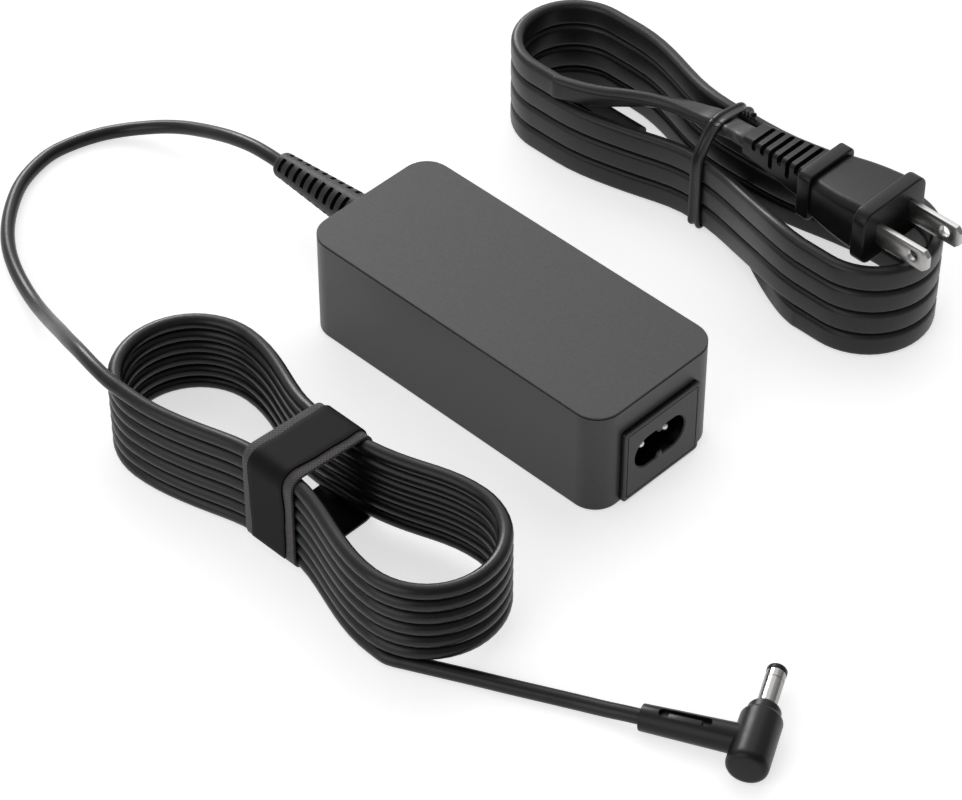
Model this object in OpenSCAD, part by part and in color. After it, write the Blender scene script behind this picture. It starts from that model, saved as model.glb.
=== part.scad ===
// Laptop power adapter: a sealed case with a two-pin mains inlet, a captive low-voltage
// lead with a right-angle barrel plug, and a separate two-core mains lead, both folded
// into hanks. The origin is the middle of the case's underside, +X points to the inlet.

/* [Case] */
// Length of the case
case_l = 100; // [94:1:140]
// Width of the case
case_w = 43; // [41:1:60]
// Height of the case
case_h = 31; // [29:0.5:40]
// Radius of the upright corners
corner_r = 7; // [4:0.5:8]
// Thickness of the case's walls and floor
wall = 2.2; // [1.6:0.1:2.6]
// Rounding of the case's bottom edge
base_edge_r = 0.8; // [0.3:0.1:1.2]
// Thickness of the top cover
lid_t = 2; // [1.6:0.1:2.4]
// Height of the cover's visible edge
lid_edge_h = 0.3; // [0.2:0.05:0.6]
// Rounding of the cover's visible edge
lid_edge_r = 0.2; // [0.1:0.05:0.2]
// Height of the shadow gap under the cover's edge
seam_h = 0.4; // [0.2:0.05:0.6]
// Depth of the shadow gap
seam_depth = 0.8; // [0.4:0.1:1]
// Depth of the cover's locating tongue inside the walls
tongue_h = 2.5; // [1.5:0.1:3.5]
// Thickness of the locating tongue
tongue_t = 1.2; // [0.8:0.1:1.6]

/* [Mains inlet] */
// Width of the inlet's front plate
inlet_w = 27; // [24:0.5:27]
// Height of the inlet's front plate
inlet_h = 22.5; // [18:0.5:24]
// Gap between the inlet's front plate and the case's underside
inlet_bottom = 0.9; // [0.9:0.1:2]
// How far the front plate stands out of the case
inlet_proud = 1.5; // [1:0.1:2.5]
// Corner radius of the front plate
inlet_corner_r = 1; // [0.5:0.1:2]
// Inset of the groove that frames the front plate
frame_groove_inset = 1; // [0.8:0.1:1.4]
// Width and depth of that groove
frame_groove_w = 0.25; // [0.2:0.05:0.3]
// Step from the front plate to the housing behind it
inlet_step = 1.8; // [1.4:0.1:2.4]
// Width of the inlet's recess
recess_w = 17; // [16.6:0.1:17.4]
// Height of the inlet's recess
recess_h = 8.4; // [8:0.1:8.6]
// Height of the recess's middle above the case's underside
recess_z = 12.35; // [11.5:0.05:13]
// Depth of the recess
recess_depth = 12; // [11:0.5:13]
// Thickness of the wall behind the recess
recess_back_t = 3; // [2:0.5:4]
// Bevel at the mouth of the recess
recess_bevel = 0.5; // [0.3:0.1:0.7]
// Depth of the key above and below the pins
key_h = 1.3; // [0.8:0.1:1.5]
// Width of the key at its tip
key_w = 2; // [1.6:0.1:2.4]
// Diameter of an inlet pin
pin_d = 2.4; // [2.2:0.05:2.5]
// Distance between the inlet pins
pin_pitch = 8.6; // [8.4:0.1:8.8]
// How far the pin tips lie behind the front plate's face
pin_setback = 2.4; // [1.5:0.1:3]

/* [Circuit] */
// Thickness of the circuit board
board_t = 1.6; // [1:0.1:2]
// Height of the board above the case's floor
board_lift = 3.8; // [3:0.1:4.5]
// Gap between the board's long edges and the walls
board_gap = 0.8; // [0.5:0.1:1.2]
// Diameter of a board post
post_d = 6; // [5:0.5:7]
// Diameter of the pin on a board post
post_pin_d = 2.4; // [2:0.1:3]
// Thickness of the insulating sheet
sheet_t = 0.4; // [0.2:0.05:0.8]
// Diameter of the bulk capacitor
bulk_d = 14; // [12:0.5:15]
// Length of the bulk capacitor
bulk_l = 24; // [20:1:26]
// Size of the transformer's core along the case
core_l = 20; // [16:1:22]
// Width of the transformer's core
core_w = 24; // [20:1:24]
// Height of the transformer's core
core_h = 17; // [14:0.5:18]
// Mean radius of the choke's ring
choke_r = 4.6; // [4:0.1:5]
// Thickness of the heat sinks
sink_t = 1.5; // [1:0.1:2]
// Height of the heat sinks
sink_h = 16; // [12:0.5:17]
// Diameter of an output capacitor
out_cap_d = 8; // [6.3:0.1:8]
// Height of an output capacitor
out_cap_h = 15; // [11:0.5:17]

/* [Output lead] */
// Diameter of the output cord
cord_d = 3.8; // [3.4:0.1:3.9]
// How far the strain relief stands out of the case
relief_l = 38; // [34:1:42]
// Diameter of the strain relief at the case
relief_root_d = 11.7; // [10.5:0.1:13]
// Diameter of the strain relief where its taper starts
relief_mid_d = 10.1; // [9:0.1:10.4]
// Length of the strain relief's root
relief_root_l = 13; // [10:0.5:16]
// Diameter of the strain relief at the cord's end
relief_tip_d = 7.1; // [6.6:0.1:8]
// Rounding of the strain relief's tip
relief_tip_r = 1.6; // [1:0.1:1.8]
// Distance of the strain relief's axis from the case's middle
relief_y = 5.2; // [-6:0.1:6]
// Height of the strain relief's axis
relief_z = 15.5; // [12:0.1:18]
// Number of slots along the strain relief
slot_count = 9; // [5:1:9]
// Distance from one slot to the next
slot_pitch = 3; // [2.6:0.1:3]
// Width of a slot
slot_w = 1.3; // [0.9:0.1:1.6]
// Angle that a slot spans
slot_angle = 62; // [50:1:68]
// Distance from the relief's tip to the first slot
slot_start = 2.5; // [2.2:0.1:3.5]
// Sheath left between the cord and the slots
slot_core_t = 0.7; // [0.4:0.1:1]

/* [Barrel plug] */
// Outer diameter of the barrel
barrel_d = 4.8; // [4:0.1:5.5]
// Diameter of the hole for the socket's pin
barrel_bore_d = 1.7; // [1.3:0.1:2.5]
// Length of barrel that shows
barrel_l = 12.3; // [8:0.1:14]
// Wall of the barrel's sleeve
barrel_wall = 0.5; // [0.35:0.05:0.6]
// Length of the insulating tip
tip_l = 1; // [0.6:0.1:1.5]
// Diameter of the plug's head
head_d = 10.2; // [9.4:0.1:11]
// Length of the plug's head
head_l = 17.1; // [15:0.1:20]
// Rounding of the head's ends
head_r = 1.8; // [1:0.1:2.2]
// Distance from the head's closed end to the handle's axis
head_back = 8.4; // [6.5:0.1:9]
// Diameter of the collar round the barrel
collar_d = 8; // [7:0.1:9]
// Length of the collar
collar_l = 2; // [1:0.1:3]
// Diameter of the plug's handle where the cord enters
handle_d = 6.5; // [5.6:0.1:7]
// Diameter of the handle where it meets the head
handle_root_d = 7.6; // [6.5:0.1:8.5]
// Length of the handle from its end to the head's axis
handle_l = 26.8; // [25:0.1:32]
// Angle by which the head leans back from square to the handle
head_lean = 3.9; // [0:0.1:6]
// Length of the handle's slot
handle_slot_l = 12.7; // [10:0.1:13.5]
// Width of the handle's slot
handle_slot_w = 2.6; // [2:0.1:3]
// Depth of the handle's slot
handle_slot_depth = 1; // [0.6:0.1:1.1]
// Distance from the handle's end to its slot
handle_slot_start = 4.3; // [3:0.1:5]
// Length of the bar in the handle's slot
slot_bar_l = 8; // [6:0.1:9]
// How far the bar lies under the handle's surface
slot_bar_sunk = 0.3; // [0.1:0.05:0.4]

/* [Output hank] */
// Number of whole loops in the output hank
hank_loops = 6; // [4:1:8]
// Height from one turn to the next
hank_pitch = 4; // [3.9:0.05:4.4]
// Radius of the hank's left end
hank_left_r = 18.6; // [17:0.1:20]
// Radius of the hank's right end
hank_right_r = 18; // [17:0.1:20]
// Half the width of the hank's waist
hank_waist = 10.4; // [9:0.1:12]
// Width of the fabric strap
strap_w = 16.6; // [12:0.1:18]
// Thickness of the strap's woven base
strap_t = 0.8; // [0.6:0.1:1]
// Width of the strap's smooth facing
facing_w = 12; // [8:0.5:13]
// Thickness of the strap's facing
facing_t = 0.6; // [0.4:0.1:0.8]

/* [Mains lead] */
// Width of the flat mains cord
flat_w = 6.9; // [6.4:0.1:7]
// Thickness of the flat mains cord
flat_t = 3.5; // [3:0.1:3.6]
// Height from one turn of the mains hank to the next
flat_pitch = 7.2; // [7.1:0.05:7.6]
// Thickness of the twist tie
tie_t = 0.8; // [0.6:0.1:1]
// Width of the twist tie
tie_w = 3.5; // [3:0.1:4]

/* [Mains plug] */
// Width of the plug's front flange
plug_w = 25; // [23:0.5:26]
// Height of the plug's front flange
plug_h = 13.2; // [12:0.1:14]
// Thickness of the front flange
plug_flange_t = 3.6; // [3:0.1:4.5]
// Width of the rear flange
plug_rear_w = 16.5; // [15:0.5:18]
// Thickness of the rear flange
plug_rear_t = 3.8; // [3:0.1:4.5]
// Length of the plug over both flanges
plug_l = 25.3; // [23:0.1:28]
// Step from the flanges to the grip between them
plug_step = 0.8; // [0.5:0.1:1.2]
// Width of the grip at the rear flange
grip_w = 13.4; // [12:0.1:14.5]
// Rounding of the plug's long edges
plug_edge_r = 1.6; // [1:0.1:2.2]
// Length of the plug's ribbed sleeve
sleeve_l = 22; // [20:0.5:24]
// Number of slots in the ribbed sleeve
sleeve_slots = 6; // [4:1:6]
// Distance between the sleeve's slots
sleeve_slot_pitch = 3.3; // [2.8:0.1:3.3]
// Width of a slot in the sleeve
sleeve_slot_w = 1.1; // [0.8:0.1:1.4]
// Distance between the blades
blade_pitch = 12.7; // [12.5:0.1:12.9]
// Height of a blade
blade_h = 6.35; // [6.1:0.05:6.5]
// Thickness of a blade
blade_t = 1.52; // [1.4:0.02:1.6]
// Length of a blade outside the plug
blade_l = 17; // [15.9:0.1:18]
// Diameter of the hole in a blade
blade_hole_d = 3.18; // [3:0.02:3.3]
// Distance of the blade's hole from the plug's face
blade_hole_x = 11.9; // [11.4:0.1:12.2]

/* [Mains connector] */
// Length of the connector's nose, which enters the inlet
nose_l = 12; // [11:0.5:12]
// Width of the connector's grip
grip_body_w = 16; // [15.5:0.1:17]
// Height of the connector's grip
grip_body_h = 8.5; // [8:0.1:9]
// Length of the connector's grip
grip_body_l = 14; // [12:0.5:16]
// Length of the connector's sleeve
conn_sleeve_l = 11; // [10:0.5:13]
// Bore of a contact
contact_bore_d = 2.45; // [2.42:0.01:2.6]
// Wall of a contact
contact_wall = 0.4; // [0.3:0.05:0.5]

/* [Hidden] */
$fn = 64;

// Clearances of pieces that are pressed or moulded together and of pieces that lie side by side,
// and how far a cutting shape runs past what it cuts
fit_gap = 0.05;
loose_gap = 0.3;
root_step = 0.2;
eps = 0.01;
over = 1;

// Case
shell_h = case_h - lid_edge_h - seam_h;
cavity_l = case_l - 2 * wall;
cavity_w = case_w - 2 * wall;
cavity_r = corner_r - wall;
end_x = case_l / 2;
inlet_face_x = end_x + inlet_proud;
inlet_z = inlet_bottom + inlet_h / 2;
inlet_back_x = inlet_face_x - recess_depth - recess_back_t;
body_w = inlet_w - 2 * inlet_step;
body_h = inlet_h - 2 * inlet_step;

// Board and what stands on it, measured from its two short edges
board_in_gap = 1.5;
board_out_gap = 1.8;
board_in_x = inlet_back_x - board_in_gap;
board_out_x = -end_x + wall + board_out_gap;
board_corner_r = 2;
board_w = cavity_w - 2 * board_gap;
board_z = wall + board_lift;
board_top = board_z + board_t;
post_inset = 7;
post_side = 4;
post_pin_sunk = 0.2;
leg_below = 1;
pin_leg_x = board_in_x - 2;
pin_leg_t = 0.8;
fuse_d = 8;
fuse_h = 8;
fuse_in = 4.5;
fuse_side = 7;
choke_in = 13.5;
choke_side = 10.1;
choke_core_r = 2.2;
choke_wire_r = 2.9;
xcap = [13, 6, 12];
xcap_in = 14.5;
xcap_y = 5;
bulk_in = 29;
bulk_shift = 1;
bridge = [15, 3.5, 11];
core_out = 28;
core_leg = 4.5;
winding_proud = 1;
device = [10, 4.2, 15];
sink_edge = 0.5;
core_y = -3;
primary_sink_l = 22;
secondary_sink_l = 14;
secondary_sink_out = 9;
out_cap_out = 11;
out_cap_y = 1;
out_cap_gap = 1;
wire_d = 1.6;
wire_side = 0.6 * wire_d;
wire_out = 3.5;

// Strain relief
relief_tip_x = -end_x - relief_l;
relief_flange_w = 1.2;
relief_flange_d = relief_root_d + 2 * relief_flange_w;
relief_flange_t = 1.6;
slot_core_r = cord_d / 2 + slot_core_t;

// Output cord: the hank's ends, waist and levels
hank_left = [-40, -69.4];
hank_right = [42.4, -71];
hank_mid = [2.6, -71];
hank_floor = cord_d / 2;
hank_lift = strap_t + loose_gap;
hank_top = hank_floor + hank_loops * hank_pitch;
loop_rings = 32;
quarter = loop_rings / 4;
run_bow_l = 3.5;
waist_flat = strap_w / 2 - run_bow_l;
waist_ease_l = 20;

// The free stretch from the strain relief to the hank, resting on the surface in between
relief_straight = 5;
lead_route = concat(
    [[relief_tip_x, relief_y, relief_z], [relief_tip_x - relief_straight, relief_y, relief_z]],
    [
        [-99, 5.2, 15], [-106, 5, 13.6], [-112, 4.7, 11.9], [-118, 4.4, 9.8], [-124, 3.5, 7.8],
        [-130, 1.6, 5.8], [-135.5, -1.4, 4], [-140, -5.2, 2.8], [-143.5, -10.2, 2.2],
        [-146, -16.8, 1.9], [-147, -24, 1.9], [-145.8, -31.2, 1.9], [-143, -38.4, 1.9],
        [-138.4, -45.2, 1.9], [-132.4, -51.8, 1.9], [-125.6, -57.2, 1.9], [-118, -61.4, 2],
        [-110, -64.8, 2.6], [-102, -67.9, 4.2], [-94.4, -71, 7.2], [-86.6, -74.6, 11.6],
        [-78.8, -78.4, 16.6], [-71, -82, 21], [-63.4, -84.8, 24.2], [-56, -86.8, 25.6],
        [-49, -87.9, hank_top]
    ],
    [[hank_left.x - cord_d, hank_left.y - hank_left_r, hank_top],
     [hank_left.x, hank_left.y - hank_left_r, hank_top]]
);

// Barrel plug: it lies on the surface, its handle turned out from the case's direction
plug_turn = 23.8;
plug_joint = [126.5, -51.7];
head_z = head_d / 2;
handle_end_z = handle_d / 2;
handle_tilt = asin((head_z - handle_end_z) / handle_l);
handle_run = handle_l * cos(handle_tilt);
handle_straight = 4;
handle_end = [
    plug_joint.x - handle_run * cos(plug_turn),
    plug_joint.y - handle_run * sin(plug_turn),
    handle_end_z
];
socket_depth = 6;
groove_d = 0.15;
groove_back = 3.9;
contact_tube_t = 0.35;
contact_floor = 1.5;
barrel_root_l = socket_depth + collar_l;
barrel_sleeve_l = barrel_root_l + barrel_l - tip_l;

tail_route = [
    [hank_right.x, hank_right.y - hank_right_r, hank_floor],
    [hank_right.x + cord_d, hank_right.y - hank_right_r, hank_floor],
    [48.5, -88.3, 1.9], [51.5, -86.8, 1.9], [58, -83.5, 1.9], [65.5, -79.7, 1.9],
    [73, -76, 1.9], [80.5, -72.2, 1.9], [88, -68.5, 2], [94, -66, 2.5],
    handle_end - handle_straight * [cos(plug_turn), sin(plug_turn), tan(handle_tilt)],
    handle_end
];

// Strap round the hank's waist
run_bow = 0.3;
strap_in_y = hank_waist + cord_d / 2 + loose_gap + run_bow;
strap_in_top = hank_top + hank_lift + cord_d / 2 + loose_gap;
strap_r = 2.2;

// Mains hank: its ends with the straight stretch beside each, its waist under the tie, its levels
flat_left = [-58.1, 85.8];
flat_left_r = 15.5;
flat_right = [47.4, 81.8];
flat_right_r = 16.6;
flat_straight = [8.5, 8];
flat_near_y = 77.4;
flat_far_y = 92.4;
flat_loops = 4;
flat_floor = flat_w / 2;
flat_lift = tie_t + loose_gap;
flat_top = flat_floor + (flat_loops - 1) * flat_pitch;
tie_x = -7.5;
flat_waist_x = tie_x + tie_w / 2;
tie_flat = tie_w / 2;
tie_slack = 0.5;
tie_room = flat_t / 2 + loose_gap + tie_slack;
tie_web = 0.6;
tie_lead_y = 85;
tie_lead_z = 29.4;
tie_tail_y = 6.6;
tie_tail_l = 7;
climb_gap = 2.2;
climb_l = 36;
climb_from = tie_x + tie_w + climb_gap;
climb_to = climb_from + climb_l;

// Mains plug: its face, and the route of its lead from the hank's top left end
plug_face = [54.9, 81.8, 33.1];
plug_back_x = plug_face.x - plug_l;
sleeve_end_x = plug_back_x - sleeve_l;
sleeve_root = [11, 10];
sleeve_tip = [flat_w + 1, flat_t + 2];
sleeve_sheath = [0.6, 0.8];
sleeve_spine = 0.6;
sleeve_margin = 1.5;
lead_straight = 2;
blade_root = 5;

plug_lead_route = [
    [flat_left.x + flat_w, flat_left.y - flat_left_r, flat_top],
    [flat_left.x + flat_straight.x, flat_left.y - flat_left_r, flat_top],
    [-44, 72.2, 25.2], [-38, 75, 25.6], [-33.6, 77.6, 26.2], [-29.5, 79.8, 26.8],
    [-25.4, 81.7, 27.3], [-20.4, 83.3, 27.8], [-15.4, 84.2, 28.3], [-11, 84.7, 28.8],
    [tie_x, tie_lead_y, tie_lead_z], [tie_x + tie_w, tie_lead_y, tie_lead_z], [0, 84.2, 30.5],
    [3.2, 82.8, 32.1], [sleeve_end_x - lead_straight, plug_face.y, plug_face.z],
    [sleeve_end_x, plug_face.y, plug_face.z]
];
plug_lead_twist = [0, 0, 8, 20, 30, 40, 50, 62, 75, 85, 90, 90, 90, 90, 90, 90];

// Mains connector: its mouth, facing along -X, and its lead under the tie
conn_face = [-62, 82.6, grip_body_h / 2];
nose_w = recess_w - 2 * loose_gap;
nose_h = recess_h - 2 * loose_gap;
contact_inset = 1;
contact_l = 9;
contact_d = contact_bore_d + 2 * contact_wall;
conn_grip_x = conn_face.x + nose_l;
conn_sleeve_x = conn_grip_x + grip_body_l;
conn_end_x = conn_sleeve_x + conn_sleeve_l;
conn_sleeve_root = [10, 7.5];
conn_slots = 3;
grip_body_r = 2.5;

// The connector's lead lies flat, goes under the tie and the near run, and turns up on its edge
connector_lead_route = [
    [conn_end_x, conn_face.y, conn_face.z],
    [conn_end_x + lead_straight, conn_face.y, conn_face.z],
    [-16, 82.9, 3.4], [tie_x, 83.3, 2.9], [tie_x + tie_w, 83.3, 2.9], [2, 82.4, 2.1],
    [6, 81.3, 1.9], [10, 79.8, 1.8], [14, 77.9, 1.9], [18, 75.6, 2.4], [22, 73, 3.1],
    [26, 70.3, 3.4], [30, 68, 3.4], [34.5, 66.1, flat_floor],
    [flat_right.x - flat_w - lead_straight, flat_right.y - flat_right_r, flat_floor],
    [flat_right.x - flat_w, flat_right.y - flat_right_r, flat_floor]
];
connector_lead_twist = [-90, -90, -90, -90, -90, -90, -90, -90, -88, -72, -45, -20, -4, 0, 0, 0];

case_colour = "#505050";
cover_colour = "#5e5e5e";
black = "#2b2b2b";
cord_black = "#343434";
nickel = "#c9c9c6";

// ---- Cord paths and sections ----

function unit(v) = v / norm(v);
function mix(a, b, t) = a + (b - a) * t;
function clamp(t) = min(max(t, 0), 1);
function ease(t) = (1 - cos(180 * clamp(t))) / 2;

// Direction of a path at its i-th point
function heading(path, i) = unit(path[min(i + 1, len(path) - 1)] - path[max(i - 1, 0)]);

// A section placed square to the path, turned about it by an angle
function tilted_ring(path, i, section, turn) =
    let (ahead = heading(path, i), side = unit([-ahead.y, ahead.x, 0]), up = cross(ahead, side))
    [for (q = section)
        path[i] + (q.x * cos(turn) - q.y * sin(turn)) * side
        + (q.x * sin(turn) + q.y * cos(turn)) * up];

// A section that stays upright while its path climbs
function upright_ring(path, i, section) =
    let (ahead = heading(path, i), side = unit([-ahead.y, ahead.x, 0]))
    [for (q = section) path[i] + q.x * side + [0, 0, q.y]];

function round_section(d, sides) =
    [for (i = [0 : sides - 1]) d / 2 * [cos(360 * i / sides), sin(360 * i / sides)]];

// A flat cord seen end on, standing on its edge, each edge brought to a blunt ridge
ridge_share = 0.93;
function flat_section(w, t) =
    let (tip = ridge_share * w / 2, shoulder = (w - t) / 2)
    [[t / 2, -shoulder], [t / 2, shoulder], [0, tip],
     [-t / 2, shoulder], [-t / 2, -shoulder], [0, -tip]];

// A run of a hank at x: drawn in at the waist, then easing out to the end's radius
function run_y(x, waist_x, flat, waist_y, left_x, left_y, right_x, right_y) =
    x < waist_x
    ? mix(waist_y, left_y, ease((waist_x - flat - x) / (waist_x - flat - left_x)))
    : mix(waist_y, right_y, ease((x - waist_x - flat) / (right_x - waist_x - flat)));

// Stations along a run, the middle one at mid_x
function run_x(t, left, right, mid_x) =
    t < 0.5 ? mix(left.x, mid_x, 2 * t) : mix(mid_x, right.x, 2 * t - 1);

// Point of a hank's plan at station j: near run, right end, far run, left end. Each run is
// straight for a stretch beside either end.
function hank_plan(j, left, left_r, right, right_r, straight, waist_x, flat, near_y, far_y) =
    let (
        part = floor(j / quarter),
        t = (j - part * quarter) / quarter,
        side = part == 0 ? -1 : 1,
        x = run_x(part == 0 ? t : 1 - t, left, right, waist_x)
    )
    part == 1 ? right + right_r * [sin(180 * t), -cos(180 * t)]
    : part == 3 ? left + left_r * [-sin(180 * t), cos(180 * t)]
    : [x, run_y(x, waist_x, flat, part == 0 ? near_y : far_y,
        left.x + straight.x, left.y + side * left_r,
        right.x - straight.y, right.y + side * right_r)];

// How far the runs are lifted over what is wrapped round the waist
function waist_lift(x, waist_x, flat, lift) =
    lift * (1 - ease((abs(x - waist_x) - flat) / waist_ease_l));

// The output hank: down one level along each far run, from the top near run to the lowest
output_path = [
    for (i = [0 : loop_rings * hank_loops + quarter])
        let (
            j = i % loop_rings,
            turns = floor(i / loop_rings),
            plan = hank_plan(j, hank_left, hank_left_r, hank_right, hank_right_r, [0, 0],
                hank_mid.x, waist_flat, hank_mid.y - hank_waist, hank_mid.y + hank_waist),
            sunk = turns + ease((j - 2 * quarter) / quarter),
            on_run = j < quarter || (j > 2 * quarter && j < 3 * quarter)
        )
        [plan.x, plan.y, hank_top - sunk * hank_pitch
            + (on_run ? waist_lift(plan.x, hank_mid.x, waist_flat, hank_lift) : 0)]
];
output_hank_path = concat(
    [output_path[0], output_path[0] + [cord_d, 0, 0]],
    [for (i = [1 : len(output_path) - 2]) output_path[i]],
    [output_path[len(output_path) - 1] - [cord_d, 0, 0], output_path[len(output_path) - 1]]
);

// The mains hank: from the lowest right end, up one level along each near run
mains_path = [
    for (i = [quarter : loop_rings * flat_loops])
        let (
            j = i % loop_rings,
            turns = floor(i / loop_rings),
            plan = hank_plan(j, flat_left, flat_left_r, flat_right, flat_right_r, flat_straight,
                flat_waist_x, tie_flat, flat_near_y, flat_far_y),
            climb = j < quarter ? ease((plan.x - climb_from) / (climb_to - climb_from)) : 1,
            level = turns - 1 + climb,
            on_run = (j > 0 && j < quarter) || (j > 2 * quarter && j < 3 * quarter)
        )
        [plan.x, plan.y, flat_floor + level * flat_pitch
            + (on_run ? waist_lift(plan.x, flat_waist_x, tie_flat, flat_lift) : 0)]
];
mains_hank_path = concat(
    [mains_path[0] - [flat_w, 0, 0]],
    mains_path,
    [mains_path[len(mains_path) - 1] + [flat_w, 0, 0]]
);

// Least distance between points of rings that lie about one loop apart
function least_gap(rings) =
    min([for (i = [0 : len(rings) - 1])
        for (k = [i + loop_rings - 3 : 1 : min(i + loop_rings + 3, len(rings) - 1)])
            for (a = rings[i]) for (b = rings[k]) norm(a - b)]);

// One closed tube through a list of rings, with triangular faces
module tube(rings) {
    sides = len(rings[0]);
    last = len(rings) - 1;
    polyhedron(
        points = [for (r = rings) for (q = r) q],
        faces = concat(
            [for (j = [1 : sides - 2]) [0, j, j + 1]],
            [for (i = [0 : last - 1]) for (j = [0 : sides - 1]) for (half = [0, 1])
                let (
                    a = i * sides + j,
                    b = i * sides + (j + 1) % sides,
                    c = b + sides,
                    d = a + sides
                )
                half == 0 ? [a, d, c] : [a, c, b]],
            [for (j = [1 : sides - 2]) [last * sides, last * sides + j + 1, last * sides + j]]
        )
    );
}

// ---- Shared shapes ----

module rounded_rect(l, w, r) {
    square([l - 2 * r, w], center = true);
    square([l, w - 2 * r], center = true);
    for (sx = [-1, 1], sy = [-1, 1]) translate([sx * (l / 2 - r), sy * (w / 2 - r)]) circle(r);
}

module stadium(l, w) {
    square([l - w, w], center = true);
    for (sx = [-1, 1]) translate([sx * (l - w) / 2, 0]) circle(d = w);
}

// Upright profile with rounded lower corners
module tub_profile(w, h, e) {
    translate([-w / 2, e]) square([w, h - e]);
    translate([-w / 2 + e, 0]) square([w - 2 * e, h]);
    for (sx = [-1, 1]) translate([sx * (w / 2 - e), e]) circle(e);
}

// Block with rounded upright corners and a rounded bottom edge
module tub(l, w, h, r, e) {
    rotate([90, 0, 90])
        translate([0, 0, -l / 2 + r]) linear_extrude(l - 2 * r) tub_profile(w, h, e);
    rotate([90, 0, 0])
        translate([0, 0, -w / 2 + r]) linear_extrude(w - 2 * r) tub_profile(l, h, e);
    for (sx = [-1, 1], sy = [-1, 1])
        translate([sx * (l / 2 - r), sy * (w / 2 - r), 0])
            rotate_extrude()
                intersection() {
                    tub_profile(2 * r, h, e);
                    square([r, h]);
                }
}

// An extrusion along +X from x, its outline's first axis along +Y and second along +Z
module along_x(x, l) {
    translate([x, 0, 0]) rotate([90, 0, 90]) linear_extrude(l) children();
}

module post_places() {
    for (x = [board_in_x - post_inset, board_out_x + post_inset], sy = [-1, 1])
        translate([x, sy * (board_w / 2 - post_side), 0]) children();
}

// ---- Case ----

module case_shell() {
    color(case_colour) {
        difference() {
            tub(case_l, case_w, shell_h, corner_r, base_edge_r);
            translate([0, 0, wall])
                linear_extrude(case_h) rounded_rect(cavity_l, cavity_w, cavity_r);
            along_x(end_x - wall - eps, wall + 2 * eps)
                translate([0, inlet_z])
                    square([body_w + 2 * fit_gap, body_h + 2 * fit_gap], center = true);
            translate([-end_x - eps, relief_y, relief_z])
                rotate([0, 90, 0]) cylinder(d = relief_root_d, h = wall + 2 * eps);
        }
        post_places() {
            translate([0, 0, wall - eps]) cylinder(d = post_d, h = board_lift + eps);
            cylinder(d = post_pin_d, h = board_top - post_pin_sunk);
        }
    }
}

module top_cover() {
    slip = 2 * fit_gap;
    least_r = 0.5;
    color(cover_colour) {
        translate([0, 0, case_h]) mirror([0, 0, 1])
            tub(case_l, case_w, lid_edge_h, corner_r, lid_edge_r);
        translate([0, 0, shell_h])
            linear_extrude(seam_h + eps)
                rounded_rect(case_l - 2 * seam_depth, case_w - 2 * seam_depth,
                    corner_r - seam_depth);
        translate([0, 0, case_h - lid_t])
            linear_extrude(lid_t - lid_edge_h)
                rounded_rect(cavity_l - slip, cavity_w - slip, cavity_r - fit_gap);
        translate([0, 0, shell_h - tongue_h])
            linear_extrude(tongue_h)
                difference() {
                    rounded_rect(cavity_l - slip, cavity_w - slip, cavity_r - fit_gap);
                    rounded_rect(cavity_l - slip - 2 * tongue_t, cavity_w - slip - 2 * tongue_t,
                        max(cavity_r - fit_gap - tongue_t, least_r));
                }
    }
}

// ---- Mains inlet ----

// Outline of the two-pin recess: a stadium with a key in the middle of each long side
module recess_outline(w, h, key_depth, key_tip) {
    difference() {
        stadium(w, h);
        for (s = [-1, 1]) scale([1, s])
            polygon([
                [-key_tip / 2, h / 2 - key_depth], [key_tip / 2, h / 2 - key_depth],
                [key_tip / 2 + key_depth / 2, h / 2 + eps],
                [-key_tip / 2 - key_depth / 2, h / 2 + eps]
            ]);
    }
}

module inlet_housing() {
    pin_hole_d = pin_d - 2 * root_step + 2 * fit_gap;
    color(black)
        difference() {
            union() {
                along_x(end_x, inlet_proud)
                    translate([0, inlet_z]) rounded_rect(inlet_w, inlet_h, inlet_corner_r);
                along_x(inlet_back_x, end_x - inlet_back_x + eps)
                    translate([0, inlet_z]) square([body_w, body_h], center = true);
            }
            along_x(inlet_face_x - frame_groove_w, frame_groove_w + eps)
                translate([0, inlet_z])
                    difference() {
                        rounded_rect(inlet_w - 2 * frame_groove_inset,
                            inlet_h - 2 * frame_groove_inset, inlet_corner_r / 2);
                        rounded_rect(inlet_w - 2 * frame_groove_inset - 2 * frame_groove_w,
                            inlet_h - 2 * frame_groove_inset - 2 * frame_groove_w,
                            inlet_corner_r / 2);
                    }
            along_x(inlet_face_x - recess_depth, recess_depth + eps)
                translate([0, recess_z]) recess_outline(recess_w, recess_h, key_h, key_w);
            along_x(inlet_face_x - recess_bevel, recess_bevel + eps)
                translate([0, recess_z])
                    stadium(recess_w + recess_bevel, recess_h + recess_bevel);
            for (s = [-1, 1])
                translate([inlet_back_x - eps, s * pin_pitch / 2, recess_z])
                    rotate([0, 90, 0])
                        cylinder(d = pin_hole_d, h = recess_back_t + 2 * eps);
        }
}

// A round pin with a domed tip, a thinner root and a flat leg down to the board
module inlet_pin(side) {
    tip_x = inlet_face_x - pin_setback;
    floor_x = inlet_face_x - recess_depth;
    color(nickel) translate([0, side * pin_pitch / 2, 0]) {
        translate([floor_x, 0, recess_z])
            rotate([0, 90, 0]) cylinder(d = pin_d, h = tip_x - pin_d / 2 - floor_x);
        translate([pin_leg_x, 0, recess_z])
            rotate([0, 90, 0]) cylinder(d = pin_d - 2 * root_step, h = floor_x - pin_leg_x + eps);
        translate([tip_x - pin_d / 2, 0, recess_z]) sphere(d = pin_d);
        translate([pin_leg_x, -pin_d / 2, board_z - leg_below])
            cube([pin_leg_t, pin_d, recess_z - board_z + leg_below]);
    }
}

module inlet_pin_near() { inlet_pin(-1); }
module inlet_pin_far() { inlet_pin(1); }

// ---- Circuit ----

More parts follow.
